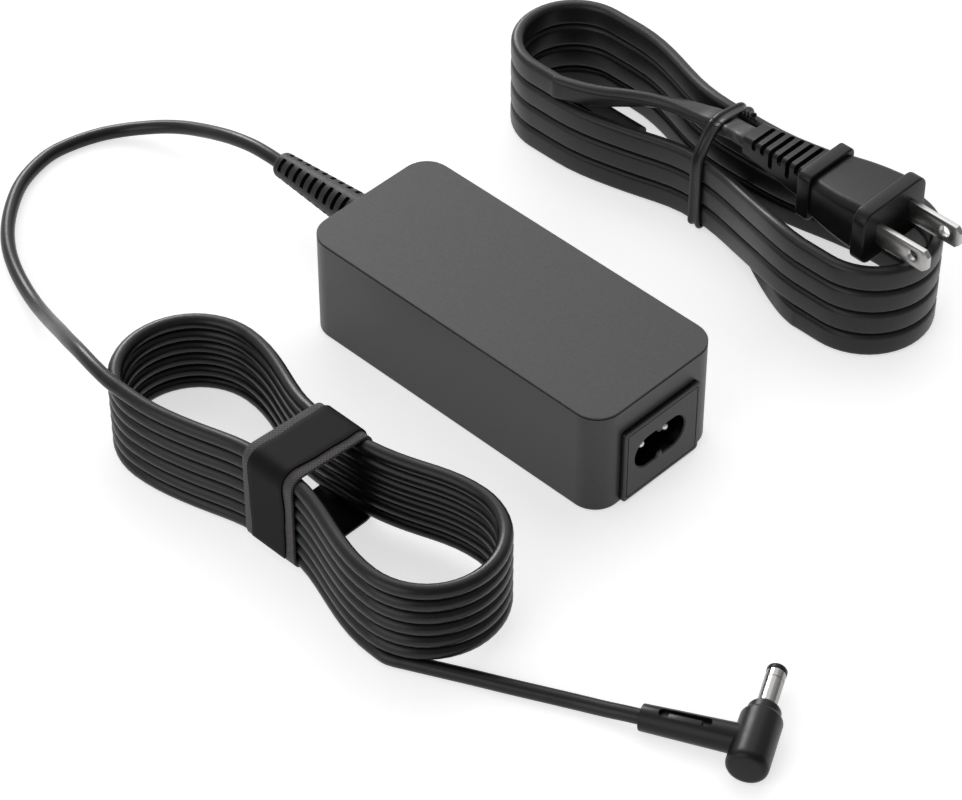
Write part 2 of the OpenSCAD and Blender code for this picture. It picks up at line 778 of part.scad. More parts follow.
module insulating_sheet() {
    margin = 1;
    color("#d8d2b8")
        translate([0, 0, wall])
            linear_extrude(sheet_t)
                difference() {
                    translate([(board_in_x + board_out_x) / 2, 0])
                        square([board_in_x - board_out_x - 2 * margin, board_w - 2 * margin],
                            center = true);
                    post_places() circle(d = post_d + 2 * loose_gap);
                }
}

module circuit_board() {
    color("#b08d4a")
        translate([0, 0, board_z])
            linear_extrude(board_t)
                difference() {
                    translate([(board_in_x + board_out_x) / 2, 0])
                        rounded_rect(board_in_x - board_out_x, board_w, board_corner_r);
                    post_places() circle(d = post_pin_d + 2 * fit_gap);
                    for (s = [-1, 1])
                        translate([pin_leg_x + pin_leg_t / 2, s * pin_pitch / 2])
                            square([pin_leg_t + 2 * fit_gap, pin_d + 2 * fit_gap], center = true);
                    wire_places() circle(d = wire_d + 2 * fit_gap);
                }
}

module fuse() {
    color("#5a3a2a")
        translate([board_in_x - fuse_in, board_w / 2 - fuse_side, board_top])
            cylinder(d = fuse_d, h = fuse_h);
}

module x_capacitor() {
    color("#c8b040")
        translate([board_in_x - xcap_in - xcap.x / 2, xcap_y - xcap.y / 2, board_top]) cube(xcap);
}

module choke_place() {
    translate([board_in_x - choke_in, choke_side - board_w / 2, board_top + choke_wire_r])
        children();
}

module choke_core() {
    color("#3d4a3d")
        choke_place() rotate_extrude() translate([choke_r, 0]) circle(choke_core_r);
}

// Two windings of copper round the ring, one on each side
module choke_windings() {
    span = 130;
    color("#b5673a")
        choke_place()
            for (a = [0, 180])
                rotate([0, 0, a - span / 2])
                    rotate_extrude(angle = span)
                        translate([choke_r, 0])
                            difference() {
                                circle(choke_wire_r);
                                circle(choke_core_r + fit_gap);
                            }
}

module bridge_rectifier() {
    color(black)
        translate([board_in_x - bulk_in - bridge.x / 2,
            board_w / 2 - sink_edge - bridge.y, board_top])
            cube(bridge);
}

// A capacitor lying on the board, with the pinched rim of its can
module bulk_capacitor() {
    rim = 2.2;
    pinch = 0.5;
    color("#26303f")
        translate([board_in_x - bulk_in, bulk_l / 2 - bulk_shift, board_top + bulk_d / 2])
            rotate([90, 0, 0])
                rotate_extrude()
                    difference() {
                        square([bulk_d / 2, bulk_l]);
                        translate([bulk_d / 2 + pinch / 2, bulk_l - rim]) circle(pinch);
                    }
}

module transformer_place() {
    translate([board_out_x + core_out, core_y, board_top]) children();
}

// Plan of the core's two windows, taken in on every side by a gap
module core_windows(gap) {
    window_w = core_w / 2 - core_leg;
    for (s = [-1, 1])
        translate([0, s * (core_leg + window_w) / 2])
            square([core_l - 2 * core_leg - 2 * gap, window_w - 2 * gap], center = true);
}

// Two E-shaped ferrite halves round the coil former
module transformer_core() {
    color("#3a3d40")
        transformer_place()
            difference() {
                translate([-core_l / 2, -core_w / 2, 0]) cube([core_l, core_w, core_h]);
                translate([0, 0, -eps])
                    linear_extrude(core_h + 2 * eps) core_windows(0);
            }
}

module transformer_windings() {
    color("#d8b23a")
        transformer_place()
            linear_extrude(core_h + winding_proud) core_windows(fit_gap);
}

module heat_sink(x, l, side) {
    mid_y = side * (board_w / 2 - sink_edge - sink_t / 2);
    color("#b9bcbe")
        translate([x - l / 2, mid_y - sink_t / 2, board_top]) cube([l, sink_t, sink_h]);
}

// A power device standing on the board with its back against a heat sink
module power_device(x, side) {
    mid_y = side * (board_w / 2 - sink_edge - sink_t - device.y / 2);
    color(black)
        translate([x - device.x / 2, mid_y - device.y / 2, board_top]) cube(device);
}

module primary_heat_sink() { heat_sink(board_out_x + core_out, primary_sink_l, 1); }
module secondary_heat_sink() { heat_sink(board_out_x + secondary_sink_out, secondary_sink_l, -1); }
module switching_transistor() { power_device(board_out_x + core_out, 1); }
module output_rectifier() { power_device(board_out_x + secondary_sink_out, -1); }

module output_capacitors() {
    color("#2b3550")
        for (s = [-1, 1])
            translate([board_out_x + out_cap_out,
                out_cap_y + (s + 1) / 2 * (out_cap_d + out_cap_gap), board_top])
                cylinder(d = out_cap_d, h = out_cap_h);
}

module wire_places() {
    for (s = [-1, 1])
        translate([board_out_x + wire_out, relief_y + s * wire_side]) children();
}

// The cord held in the strain relief, and its two cores down to the board
module output_wires() {
    cord_in_x = -end_x + wall + relief_flange_t;
    color(cord_black) {
        translate([relief_tip_x, relief_y, relief_z])
            rotate([0, 90, 0]) cylinder(d = cord_d, h = cord_in_x - relief_tip_x);
        for (s = [-1, 1])
            translate([cord_in_x - eps, relief_y + s * wire_side, relief_z])
                rotate([0, 90, 0])
                    cylinder(d = wire_d, h = board_out_x + wire_out - cord_in_x + eps);
        wire_places() {
            translate([0, 0, relief_z]) sphere(d = wire_d);
            translate([0, 0, board_z - leg_below])
                cylinder(d = wire_d, h = relief_z - board_z + leg_below);
        }
    }
}

// ---- Output lead ----

// One transverse slot: four arcs with a spine between each pair
module slot_outline() {
    outer_r = relief_root_d;
    for (a = [45, 135, 225, 315])
        difference() {
            polygon(concat([[0, 0]],
                [for (k = [-2 : 2]) outer_r * [cos(a + k * slot_angle / 4),
                    sin(a + k * slot_angle / 4)]]));
            circle(slot_core_r);
        }
}

// Tapered sleeve with four rows of slots, held in the end wall by an inner flange
module output_strain_relief() {
    root_x = wall + relief_flange_t;
    color(black)
        translate([-end_x, relief_y, relief_z])
            rotate([0, -90, 0])
                difference() {
                    rotate_extrude() {
                        difference() {
                            polygon([
                                [0, -root_x], [relief_flange_d / 2, -root_x],
                                [relief_flange_d / 2, -wall], [relief_root_d / 2 - fit_gap, -wall],
                                [relief_root_d / 2 - fit_gap, 0], [relief_root_d / 2, 0],
                                [relief_mid_d / 2, relief_root_l],
                                [relief_tip_d / 2, relief_l - relief_tip_r],
                                [relief_tip_d / 2 - relief_tip_r, relief_l], [0, relief_l]
                            ]);
                            translate([0, -root_x - eps])
                                square([cord_d / 2 + fit_gap, relief_l + root_x + 2 * eps]);
                        }
                        intersection() {
                            translate([relief_tip_d / 2 - relief_tip_r, relief_l - relief_tip_r])
                                circle(relief_tip_r);
                            translate([cord_d / 2 + fit_gap, relief_l - relief_tip_r - eps])
                                square([relief_tip_d, relief_tip_r + 2 * eps]);
                        }
                    }
                    for (k = [0 : slot_count - 1])
                        translate([0, 0, relief_l - slot_start - slot_w - k * slot_pitch])
                            linear_extrude(slot_w) slot_outline();
                }
}

module output_lead() {
    section = round_section(cord_d, 8);
    color(cord_black)
        tube([for (i = [0 : len(lead_route) - 1]) tilted_ring(lead_route, i, section, 0)]);
}

module output_hank() {
    section = round_section(cord_d, 6);
    rings = [for (i = [0 : len(output_hank_path) - 1]) upright_ring(output_hank_path, i, section)];
    echo(str("Least gap of the output hank to itself: ", least_gap(rings), " mm"));
    color(cord_black) tube(rings);
}

module output_tail() {
    section = round_section(cord_d, 8);
    color(cord_black)
        tube([for (i = [0 : len(tail_route) - 1]) tilted_ring(tail_route, i, section, 0)]);
}

// ---- Barrel plug ----

// The plug's own frame: the handle towards -X, the head's axis near +Y
module at_plug() {
    translate([plug_joint.x, plug_joint.y, head_z]) rotate([0, 0, plug_turn]) children();
}

module at_handle() {
    at_plug() rotate([0, -handle_tilt, 0]) translate([-handle_l, 0, 0]) children();
}

module handle_slot(l, depth) {
    translate([handle_slot_start + handle_slot_l / 2, 0, handle_d / 2 - depth])
        linear_extrude(depth + over) stadium(l, handle_slot_w);
}

module along_head(z) {
    at_plug() rotate([0, 0, head_lean]) translate([0, z - head_back, 0]) rotate([-90, 0, 0])
        children();
}

// Handle and head moulded in one piece, with a collar round the barrel's root
module barrel_plug_body() {
    color(black)
        difference() {
            union() {
                along_head(0)
                    rotate_extrude()
                        intersection() {
                            translate([0, head_l / 2]) rounded_rect(head_d, head_l, head_r);
                            square([head_d, head_l]);
                        }
                along_head(head_l - eps) cylinder(d = collar_d, h = collar_l + eps);
                at_handle()
                    rotate([0, 90, 0]) cylinder(d1 = handle_d, d2 = handle_root_d, h = handle_l);
            }
            at_handle() handle_slot(handle_slot_l, handle_slot_depth);
            along_head(head_l - socket_depth)
                cylinder(d = barrel_d - 2 * root_step + 2 * fit_gap,
                    h = barrel_root_l + over);
        }
}

module barrel_plug_slot_bar() {
    bar_w = handle_slot_w - 2 * fit_gap;
    color(black)
        at_handle()
            translate([handle_slot_start + handle_slot_l / 2 - slot_bar_l / 2, -bar_w / 2,
                handle_d / 2 - handle_slot_depth])
                cube([slot_bar_l, bar_w, handle_slot_depth - slot_bar_sunk]);
}

// Sleeve of the barrel, with a fine ring pressed into it near its end
module barrel_sleeve() {
    color(nickel)
        along_head(head_l - socket_depth)
            difference() {
                union() {
                    cylinder(d = barrel_d - 2 * root_step, h = barrel_sleeve_l);
                    translate([0, 0, barrel_root_l])
                        cylinder(d = barrel_d, h = barrel_l - tip_l);
                }
                translate([0, 0, -eps])
                    cylinder(d = barrel_d - 2 * barrel_wall, h = barrel_sleeve_l + 2 * eps);
                translate([0, 0, barrel_sleeve_l + tip_l - groove_back])
                    rotate_extrude() translate([barrel_d / 2, 0]) circle(groove_d);
            }
}

// Black tube inside the barrel, with a rim that covers the barrel's end
module barrel_insulator() {
    hole_r = barrel_bore_d / 2 + contact_tube_t + fit_gap;
    tube_r = barrel_d / 2 - barrel_wall - fit_gap;
    color(black)
        along_head(head_l - socket_depth)
            rotate_extrude()
                polygon([
                    [hole_r, 0], [tube_r, 0], [tube_r, barrel_sleeve_l],
                    [barrel_d / 2, barrel_sleeve_l], [barrel_d / 2, barrel_sleeve_l + tip_l],
                    [hole_r, barrel_sleeve_l + tip_l]
                ]);
}

module barrel_contact() {
    color(nickel)
        along_head(head_l - socket_depth)
            difference() {
                cylinder(r = barrel_bore_d / 2 + contact_tube_t, h = barrel_sleeve_l + tip_l);
                translate([0, 0, contact_floor])
                    cylinder(d = barrel_bore_d, h = barrel_sleeve_l + tip_l);
            }
}

// ---- Strap round the output hank ----

// Rounded outline that lies a distance outside the strap's inner faces
module strap_outline(out) {
    mid_z = (strap_in_top + strap_t) / 2;
    translate([hank_mid.y, mid_z])
        rounded_rect(2 * (strap_in_y + out), strap_in_top - strap_t + 2 * out, strap_r + out);
}

module strap_base() {
    color("#4d4849")
        along_x(hank_mid.x - strap_w / 2, strap_w)
            difference() {
                strap_outline(strap_t);
                strap_outline(0);
            }
}

// The facing covers the base on the top and on both sides, down to the lower bends
module strap_facing() {
    color("#262626")
        along_x(hank_mid.x - facing_w / 2, facing_w)
            difference() {
                strap_outline(strap_t + facing_t);
                strap_outline(strap_t);
                translate([hank_mid.y - 2 * strap_in_y, -over])
                    square([4 * strap_in_y, strap_t + strap_r + over]);
            }
}

// ---- Mains lead ----

module mains_hank() {
    section = flat_section(flat_w, flat_t);
    rings = [for (i = [0 : len(mains_hank_path) - 1]) upright_ring(mains_hank_path, i, section)];
    echo(str("Least gap of the mains hank to itself: ", least_gap(rings), " mm"));
    color(cord_black) tube(rings);
}

module flat_lead(route, twist) {
    section = flat_section(flat_w, flat_t);
    color(cord_black)
        tube([for (i = [0 : len(route) - 1]) tilted_ring(route, i, section, twist[i])]);
}

module mains_plug_lead() { flat_lead(plug_lead_route, plug_lead_twist); }
module mains_connector_lead() { flat_lead(connector_lead_route, connector_lead_twist); }

// Flat wire tie: a ribbon with a wire along each edge, and its twisted tails
module tie_inside() {
    polygon([
        [flat_near_y - tie_room, tie_t],
        [flat_near_y - tie_room, flat_top - flat_pitch + flat_lift + flat_w / 2 + loose_gap],
        [tie_lead_y - flat_w / 2 - loose_gap, tie_lead_z + flat_t / 2 + loose_gap],
        [tie_lead_y + flat_t / 2, tie_lead_z + flat_t / 2 + loose_gap],
        [flat_far_y + tie_room, flat_top + flat_lift + flat_w / 2 + loose_gap],
        [flat_far_y + tie_room, tie_t]
    ]);
}

module tie_band(x, l, t) {
    along_x(x, l)
        difference() {
            offset(r = t, $fn = 16) tie_inside();
            tie_inside();
        }
}

module twist_tie() {
    wire_w = tie_w / 3;
    tail_d = 2.2;
    color("#1f1f1f") {
        tie_band(tie_x, tie_w, tie_web * tie_t);
        for (x = [tie_x, tie_x + tie_w - wire_w]) tie_band(x, wire_w, tie_t);
        translate([tie_x + tie_w - wire_w,
            tie_lead_y + tie_tail_y, flat_top + flat_lift + flat_w / 2 + loose_gap + tail_d / 2])
            rotate([0, 90, 0]) cylinder(d = tail_d, h = tie_tail_l);
    }
}

// ---- Mains plug ----

module at_face() {
    translate(plug_face) children();
}

// Two flanges with a waisted grip between them, and a pocket for each blade's root
module mains_plug_body() {
    grip_l = plug_l - plug_flange_t - plug_rear_t;
    flare = (plug_w - 2 * plug_step - grip_w) / 2;
    flank_r = (grip_l * grip_l + flare * flare) / (2 * flare);
    color(black)
        at_face()
            difference() {
                union() {
                    along_x(-plug_flange_t, plug_flange_t)
                        rounded_rect(plug_w, plug_h, plug_edge_r);
                    along_x(-plug_l, plug_rear_t) rounded_rect(plug_rear_w, plug_h, plug_edge_r);
                    intersection() {
                        along_x(-plug_l + eps, plug_l - 2 * eps)
                            rounded_rect(plug_w - 2 * plug_step, plug_h - 2 * plug_step,
                                plug_edge_r);
                        translate([0, 0, -plug_h / 2])
                            linear_extrude(plug_h)
                                difference() {
                                    translate([-plug_l + eps, -plug_w / 2])
                                        square([plug_l - plug_flange_t, plug_w]);
                                    translate([-plug_l, -plug_w / 2])
                                        square([plug_rear_t, (plug_w - grip_w) / 2]);
                                    translate([-plug_l, grip_w / 2])
                                        square([plug_rear_t, (plug_w - grip_w) / 2]);
                                    for (s = [-1, 1])
                                        translate([-plug_l + plug_rear_t,
                                            s * (grip_w / 2 + flank_r)])
                                            circle(flank_r, $fn = 180);
                                }
                    }
                }
                for (s = [-1, 1])
                    translate([-blade_root, s * blade_pitch / 2 - blade_t / 2 - fit_gap,
                        -blade_h / 2 - fit_gap])
                        cube([blade_root + over, blade_t + 2 * fit_gap, blade_h + 2 * fit_gap]);
            }
}

// Sleeve that tapers to the cord, slotted from opposite corners so that it can bend
module ribbed_sleeve(l, root, tip, slots) {
    core = [flat_w, flat_t] + sleeve_sheath;
    difference() {
        intersection() {
            translate([0, 0, -root.y]) linear_extrude(2 * root.y)
                polygon([[0, -tip.x / 2], [0, tip.x / 2], [l, root.x / 2], [l, -root.x / 2]]);
            translate([0, root.x, 0]) rotate([90, 0, 0]) linear_extrude(2 * root.x)
                polygon([[0, -tip.y / 2], [0, tip.y / 2], [l, root.y / 2], [l, -root.y / 2]]);
        }
        for (k = [0 : slots - 1])
            along_x(l - sleeve_margin - sleeve_slot_w - k * sleeve_slot_pitch, sleeve_slot_w)
                difference() {
                    square(2 * root, center = true);
                    square(core, center = true);
                    for (s = [-1, 1])
                        translate(s * ((core + root) / 2 - [sleeve_spine, sleeve_spine]))
                            square(root, center = true);
                }
    }
}

module mains_plug_sleeve() {
    color(black)
        translate([sleeve_end_x, plug_face.y, plug_face.z])
            ribbed_sleeve(sleeve_l, sleeve_root, sleeve_tip, sleeve_slots);
}

module blade(side) {
    bevel = 1.4;
    color(nickel)
        at_face()
            translate([0, side * blade_pitch / 2 + blade_t / 2, 0])
                rotate([90, 0, 0])
                    difference() {
                        linear_extrude(blade_t)
                            polygon([
                                [-blade_root, -blade_h / 2], [blade_l - bevel, -blade_h / 2],
                                [blade_l, -blade_h / 2 + bevel], [blade_l, blade_h / 2 - bevel],
                                [blade_l - bevel, blade_h / 2], [-blade_root, blade_h / 2]
                            ]);
                        translate([blade_hole_x, 0, -eps])
                            cylinder(d = blade_hole_d, h = blade_t + 2 * eps);
                    }
}

module plug_blade_near() { blade(-1); }
module plug_blade_far() { blade(1); }

// ---- Mains connector ----

// Nose that fits the inlet's recess, with a pocket for each contact, and a plain grip
module connector_body() {
    color(black)
        translate(conn_face)
            difference() {
                union() {
                    along_x(0, nose_l + eps)
                        recess_outline(nose_w, nose_h, key_h, key_w + 2 * loose_gap);
                    along_x(nose_l, grip_body_l)
                        rounded_rect(grip_body_w, grip_body_h, grip_body_r);
                }
                for (s = [-1, 1])
                    translate([-eps, s * pin_pitch / 2, 0]) rotate([0, 90, 0]) {
                        cylinder(d = pin_d + 2 * loose_gap, h = contact_inset + 2 * eps);
                        translate([0, 0, contact_inset])
                            cylinder(d = contact_d + 2 * fit_gap, h = contact_l + 2 * eps);
                    }
            }
}

module connector_sleeve() {
    color(black)
        translate([conn_end_x, conn_face.y, conn_face.z]) mirror([1, 0, 0])
            ribbed_sleeve(conn_sleeve_l, conn_sleeve_root, sleeve_tip, conn_slots);
}

module connector_contacts() {
    color(nickel)
        translate(conn_face)
            for (s = [-1, 1])
                translate([contact_inset, s * pin_pitch / 2, 0]) rotate([0, 90, 0])
                    difference() {
                        cylinder(d = contact_d, h = contact_l);
                        translate([0, 0, -eps])
                            cylinder(d = contact_bore_d, h = contact_l + 2 * eps);
                    }
}

case_shell();
top_cover();
inlet_housing();
inlet_pin_near();
inlet_pin_far();
insulating_sheet();
circuit_board();
fuse();
x_capacitor();
choke_core();
choke_windings();
bridge_rectifier();
bulk_capacitor();
transformer_core();
transformer_windings();
primary_heat_sink();
switching_transistor();
secondary_heat_sink();
output_rectifier();
output_capacitors();
output_wires();
output_strain_relief();
output_lead();
output_hank();
output_tail();
barrel_plug_body();
barrel_plug_slot_bar();
barrel_sleeve();
barrel_insulator();
barrel_contact();
strap_base();
strap_facing();
mains_hank();
mains_plug_lead();
mains_connector_lead();
mains_plug_body();
mains_plug_sleeve();
plug_blade_near();
plug_blade_far();
connector_body();
connector_sleeve();
connector_contacts();
twist_tie();
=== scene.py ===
import math

import bmesh
import bpy
from mathutils import Matrix, Vector


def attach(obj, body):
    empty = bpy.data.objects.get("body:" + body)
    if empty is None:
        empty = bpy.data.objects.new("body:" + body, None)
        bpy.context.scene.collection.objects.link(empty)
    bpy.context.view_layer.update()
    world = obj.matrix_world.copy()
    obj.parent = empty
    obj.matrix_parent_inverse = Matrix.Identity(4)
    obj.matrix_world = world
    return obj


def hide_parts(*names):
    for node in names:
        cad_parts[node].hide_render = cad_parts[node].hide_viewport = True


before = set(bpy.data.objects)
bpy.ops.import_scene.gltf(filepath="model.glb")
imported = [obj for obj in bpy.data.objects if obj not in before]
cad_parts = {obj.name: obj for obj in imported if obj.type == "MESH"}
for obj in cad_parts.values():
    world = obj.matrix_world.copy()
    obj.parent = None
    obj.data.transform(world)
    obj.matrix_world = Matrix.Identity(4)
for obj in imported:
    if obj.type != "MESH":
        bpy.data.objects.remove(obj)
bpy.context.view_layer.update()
mm = 0.001
print("frame loaded")

# camera, floor and light

camera = {
    "place": (0.445213, -0.46633, 0.607031),
    "tilt": 46.345,  # degrees from looking straight down
    "turn": 44.286,
    "lens": 131.92,  # mm
    "sensor": 36,  # mm wide
    "sees": (0.05, 20),  # nearest and farthest, in metres
}


def makeCamera():
    data = bpy.data.cameras.new("camera")
    data.lens = camera["lens"]
    data.sensor_width = camera["sensor"]
    data.clip_start, data.clip_end = camera["sees"]
    eye = bpy.data.objects.new("camera", data)
    eye.location = camera["place"]
    eye.rotation_euler = (math.radians(camera["tilt"]), 0, math.radians(camera["turn"]))
    bpy.context.scene.collection.objects.link(eye)
    bpy.context.scene.camera = eye


def toLinear(hexCode):
    channels = [int(hexCode[i:i + 2], 16) / 255 for i in (1, 3, 5)]
    return [c / 12.92 if c <= 0.04045 else ((c + 0.055) / 1.055) ** 2.4 for c in channels] + [1]


def addNode(tree, kind, inputs=None, **settings):
    node = tree.nodes.new(kind)
    for name, value in settings.items():
        setattr(node, name, value)
    for socket, value in (inputs or {}).items():
        if isinstance(value, bpy.types.NodeSocket):
            tree.links.new(value, node.inputs[socket])
        else:
            node.inputs[socket].default_value = value
    return node


def seenDirectly(tree):
    # 1 where the camera, a gloss or a clear piece looks, 0 for light that falls on the object
    path = addNode(tree, "ShaderNodeLightPath")
    gloss = addNode(tree, "ShaderNodeMath", {0: path.outputs["Is Camera Ray"],
                                             1: path.outputs["Is Glossy Ray"]}, operation="MAXIMUM")
    return addNode(tree, "ShaderNodeMath", {0: gloss.outputs[0],
                                            1: path.outputs["Is Transmission Ray"]},
                   operation="MAXIMUM").outputs[0]


studio = {
    "floorSize": 12,
    "floorColour": "#e6e6e6",
    "floorLift": 0.62,  # brings the open floor to white and keeps its shadows
    "sky": 0.62,  # level of the light from all round
    "brightSide": (-0.76, 0.37, 0.54),  # where the studio's white wall stands
    "dimSide": 0.3,  # level of the wall across from it
    "lamps": [  # name, power in W, side, place, whether it is seen in gloss alone
        ("softbox", 12, 2.2, (-1.0, 1.05, 1.75), False),
        ("fill", 15, 1.6, (-0.1, -1.9, 0.9), False),
        ("strip", 20, 0.7, (-1.55, 0.75, 0.95), True),
    ],
}


def makeFloor():
    bm = bmesh.new()
    bmesh.ops.create_grid(bm, x_segments=1, y_segments=1, size=studio["floorSize"] / 2)
    mesh = bpy.data.meshes.new("floor")
    bm.to_mesh(mesh)
    bm.free()
    floor = bpy.data.objects.new("floor", mesh)
    bpy.context.scene.collection.objects.link(floor)
    paper = bpy.data.materials.new("matt white paper")
    paper.use_nodes = True
    tree = paper.node_tree
    tree.nodes.clear()
    matt = addNode(tree, "ShaderNodeBsdfDiffuse", {"Color": toLinear(studio["floorColour"])})
    lift = addNode(tree, "ShaderNodeMath", {0: seenDirectly(tree), 1: studio["floorLift"]},
                   operation="MULTIPLY")
    glow = addNode(tree, "ShaderNodeEmission", {"Color": (1, 1, 1, 1), "Strength": lift.outputs[0]})
    both = addNode(tree, "ShaderNodeAddShader", {0: matt.outputs[0], 1: glow.outputs[0]})
    addNode(tree, "ShaderNodeOutputMaterial", {"Surface": both.outputs[0]})
    mesh.materials.append(paper)


def makeLamp(name, power, size, place, glossOnly):
    data = bpy.data.lights.new(name, "AREA")
    data.energy = power
    data.size = size
    lamp = bpy.data.objects.new(name, data)
    lamp.location = place
    lamp.rotation_euler = (-Vector(place)).to_track_quat("-Z", "Y").to_euler()
    lamp.visible_diffuse = not glossOnly
    bpy.context.scene.collection.objects.link(lamp)


def makeWorld():
    world = bpy.data.worlds.new("studio")
    world.use_nodes = True
    tree = world.node_tree
    tree.nodes.clear()
    towards = addNode(tree, "ShaderNodeTexCoord").outputs["Generated"]
    facing = addNode(tree, "ShaderNodeVectorMath", {0: towards, 1: studio["brightSide"]},
                     operation="DOT_PRODUCT").outputs["Value"]
    wall = addNode(tree, "ShaderNodeMapRange", {
        "Value": facing, "From Min": 0.0, "From Max": 0.9,
        "To Min": studio["dimSide"], "To Max": 1.0}, interpolation_type="SMOOTHSTEP").outputs[0]
    strength = addNode(tree, "ShaderNodeMix", {
        "Factor": seenDirectly(tree), 2: studio["sky"], 3: 1.0}).outputs[0]
    around = addNode(tree, "ShaderNodeMath", {0: strength, 1: wall},
                     operation="MULTIPLY").outputs[0]
    path = addNode(tree, "ShaderNodeLightPath")
    level = addNode(tree, "ShaderNodeMix", {
        "Factor": path.outputs["Is Camera Ray"], 2: around, 3: 1.0}).outputs[0]
    sky = addNode(tree, "ShaderNodeBackground", {"Color": (1, 1, 1, 1), "Strength": level})
    addNode(tree, "ShaderNodeOutputWorld", {"Surface": sky.outputs[0]})
    bpy.context.scene.world = world


makeCamera()
makeFloor()
makeWorld()
for lampSettings in studio["lamps"]:
    makeLamp(*lampSettings)
bpy.context.scene.view_settings.view_transform = "Standard"
print("camera, floor and light made")

# finishes


def startFinish(name, colour, roughness, ior=1.5, metallic=0.0):
    finish = bpy.data.materials.new(name)
    finish.use_nodes = True
    tree = finish.node_tree
    shader = tree.nodes["Principled BSDF"]
    shader.inputs["Base Color"].default_value = toLinear(colour)
    shader.inputs["Roughness"].default_value = roughness
    shader.inputs["Metallic"].default_value = metallic
    if not metallic:
        shader.inputs["IOR"].default_value = ior
    place = addNode(tree, "ShaderNodeTexCoord").outputs["Object"]
    return finish, tree, shader, place


def noiseAt(tree, place, size, stretch=(1, 1, 1), turn=0, detail=2.0):
    # size is one grain in metres, stretch its length along each axis
    mapped = addNode(tree, "ShaderNodeMapping", {
        "Vector": place, "Rotation": (0, 0, math.radians(turn)),
        "Scale": [1 / (size * s) for s in stretch]})
    return addNode(tree, "ShaderNodeTexNoise", {
        "Vector": mapped.outputs[0], "Scale": 1.0, "Detail": detail, "Roughness": 0.55}).outputs[0]


def spread(tree, value, low, high):
    return addNode(tree, "ShaderNodeMapRange", {
        "Value": value, "From Min": 0.3, "From Max": 0.7, "To Min": low, "To Max": high}).outputs[0]


def blendColours(tree, shader, value, dark, light):
    mixed = addNode(tree, "ShaderNodeMix", {"Factor": value, 6: toLinear(dark), 7: toLinear(light)},
                    data_type="RGBA")
    tree.links.new(mixed.outputs[2], shader.inputs["Base Color"])


def addBump(tree, shader, height, depth):
    bump = addNode(tree, "ShaderNodeBump", {"Height": height, "Distance": depth, "Strength": 1.0})
    tree.links.new(bump.outputs[0], shader.inputs["Normal"])


def mouldedPlastic(name, dark, light, roughness, grain=0.25 * mm, depth=0.012 * mm, gloss=0.5):
    # the mould's spark-eroded skin: breaks every highlight into a soft sheen
    finish, tree, shader, place = startFinish(name, light, roughness, 1.53)
    shader.inputs["Specular IOR Level"].default_value = gloss
    fine = noiseAt(tree, place, grain)
    broad = noiseAt(tree, place, 6 * grain)
    blendColours(tree, shader, spread(tree, broad, 0, 1), dark, light)
    tree.links.new(spread(tree, broad, roughness - 0.03, roughness + 0.03),
                   shader.inputs["Roughness"])
    addBump(tree, shader, fine, depth)
    return finish


def grainedCover():
    # leather-like grain drawn across the cover: short streaks that catch the light from behind
    finish, tree, shader, place = startFinish("grained ABS", "#4c4c4c", 0.5, 1.53)
    streaks = noiseAt(tree, place, 0.42 * mm, stretch=(3, 1, 1), turn=45, detail=3)
    broad = noiseAt(tree, place, 2 * mm)
    shader.inputs["Specular IOR Level"].default_value = 0.25
    blendColours(tree, shader, spread(tree, streaks, 0, 1), "#464646", "#4e4e4e")
    tree.links.new(spread(tree, broad, 0.48, 0.52), shader.inputs["Roughness"])
    addBump(tree, shader, streaks, 0.04 * mm)
    return finish


def metalFinish(name, colour, roughness, size, stretch, depth=0.002 * mm):
    # plated or rolled metal: fine lines stretch the highlight across them
    finish, tree, shader, place = startFinish(name, colour, roughness, metallic=1.0)
    lines = noiseAt(tree, place, size, stretch)
    tree.links.new(spread(tree, lines, roughness - 0.06, roughness + 0.06),
                   shader.inputs["Roughness"])
    addBump(tree, shader, lines, depth)
    return finish


def wovenStrap():
    # plain weave of nylon yarn: the yarn's colour on the crowns, painted shade in the gaps between
    # them
    finish, tree, shader, place = startFinish("woven nylon", "#4d4849", 0.75, 1.53)
    yarn = 0.45 * mm  # drawn coarser than the real 0.3 mm, to show
    scale = math.pi / yarn
    parts = addNode(tree, "ShaderNodeSeparateXYZ", {0: place}).outputs
    along = addNode(tree, "ShaderNodeMath", {0: parts["Y"], 1: parts["Z"]},
                    operation="ADD").outputs[0]
    waves = []
    for axis in (parts["X"], along):
        angle = addNode(tree, "ShaderNodeMath", {0: axis, 1: scale},
                        operation="MULTIPLY").outputs[0]
        waves.append(addNode(tree, "ShaderNodeMath", {0: angle}, operation="SINE").outputs[0])
    crowns = addNode(tree, "ShaderNodeMath", {0: waves[0], 1: waves[1]},
                     operation="MULTIPLY").outputs[0]
    level = addNode(tree, "ShaderNodeMapRange", {
        "Value": crowns, "From Min": -1.0, "From Max": 1.0,
        "To Min": 0.0, "To Max": 1.0}).outputs[0]
    # painted shade: darker where the weave sinks between crowns
    blendColours(tree, shader, level, "#1d1a1b", "#4c4647")
    addBump(tree, shader, level, 0.12 * mm)
    shader.inputs["Sheen Weight"].default_value = 0.25
    return finish


def smoothFacing():
    # brushed loop facing pressed flat: matt black with a faint nap
    finish, tree, shader, place = startFinish("brushed nylon", "#0c0c0c", 0.6, 1.53)
    nap = noiseAt(tree, place, 0.25 * mm, stretch=(3, 1, 1))
    blendColours(tree, shader, spread(tree, nap, 0, 1), "#090909", "#0c0c0c")
    addBump(tree, shader, nap, 0.01 * mm)
    shader.inputs["Specular IOR Level"].default_value = 0.1
    return finish


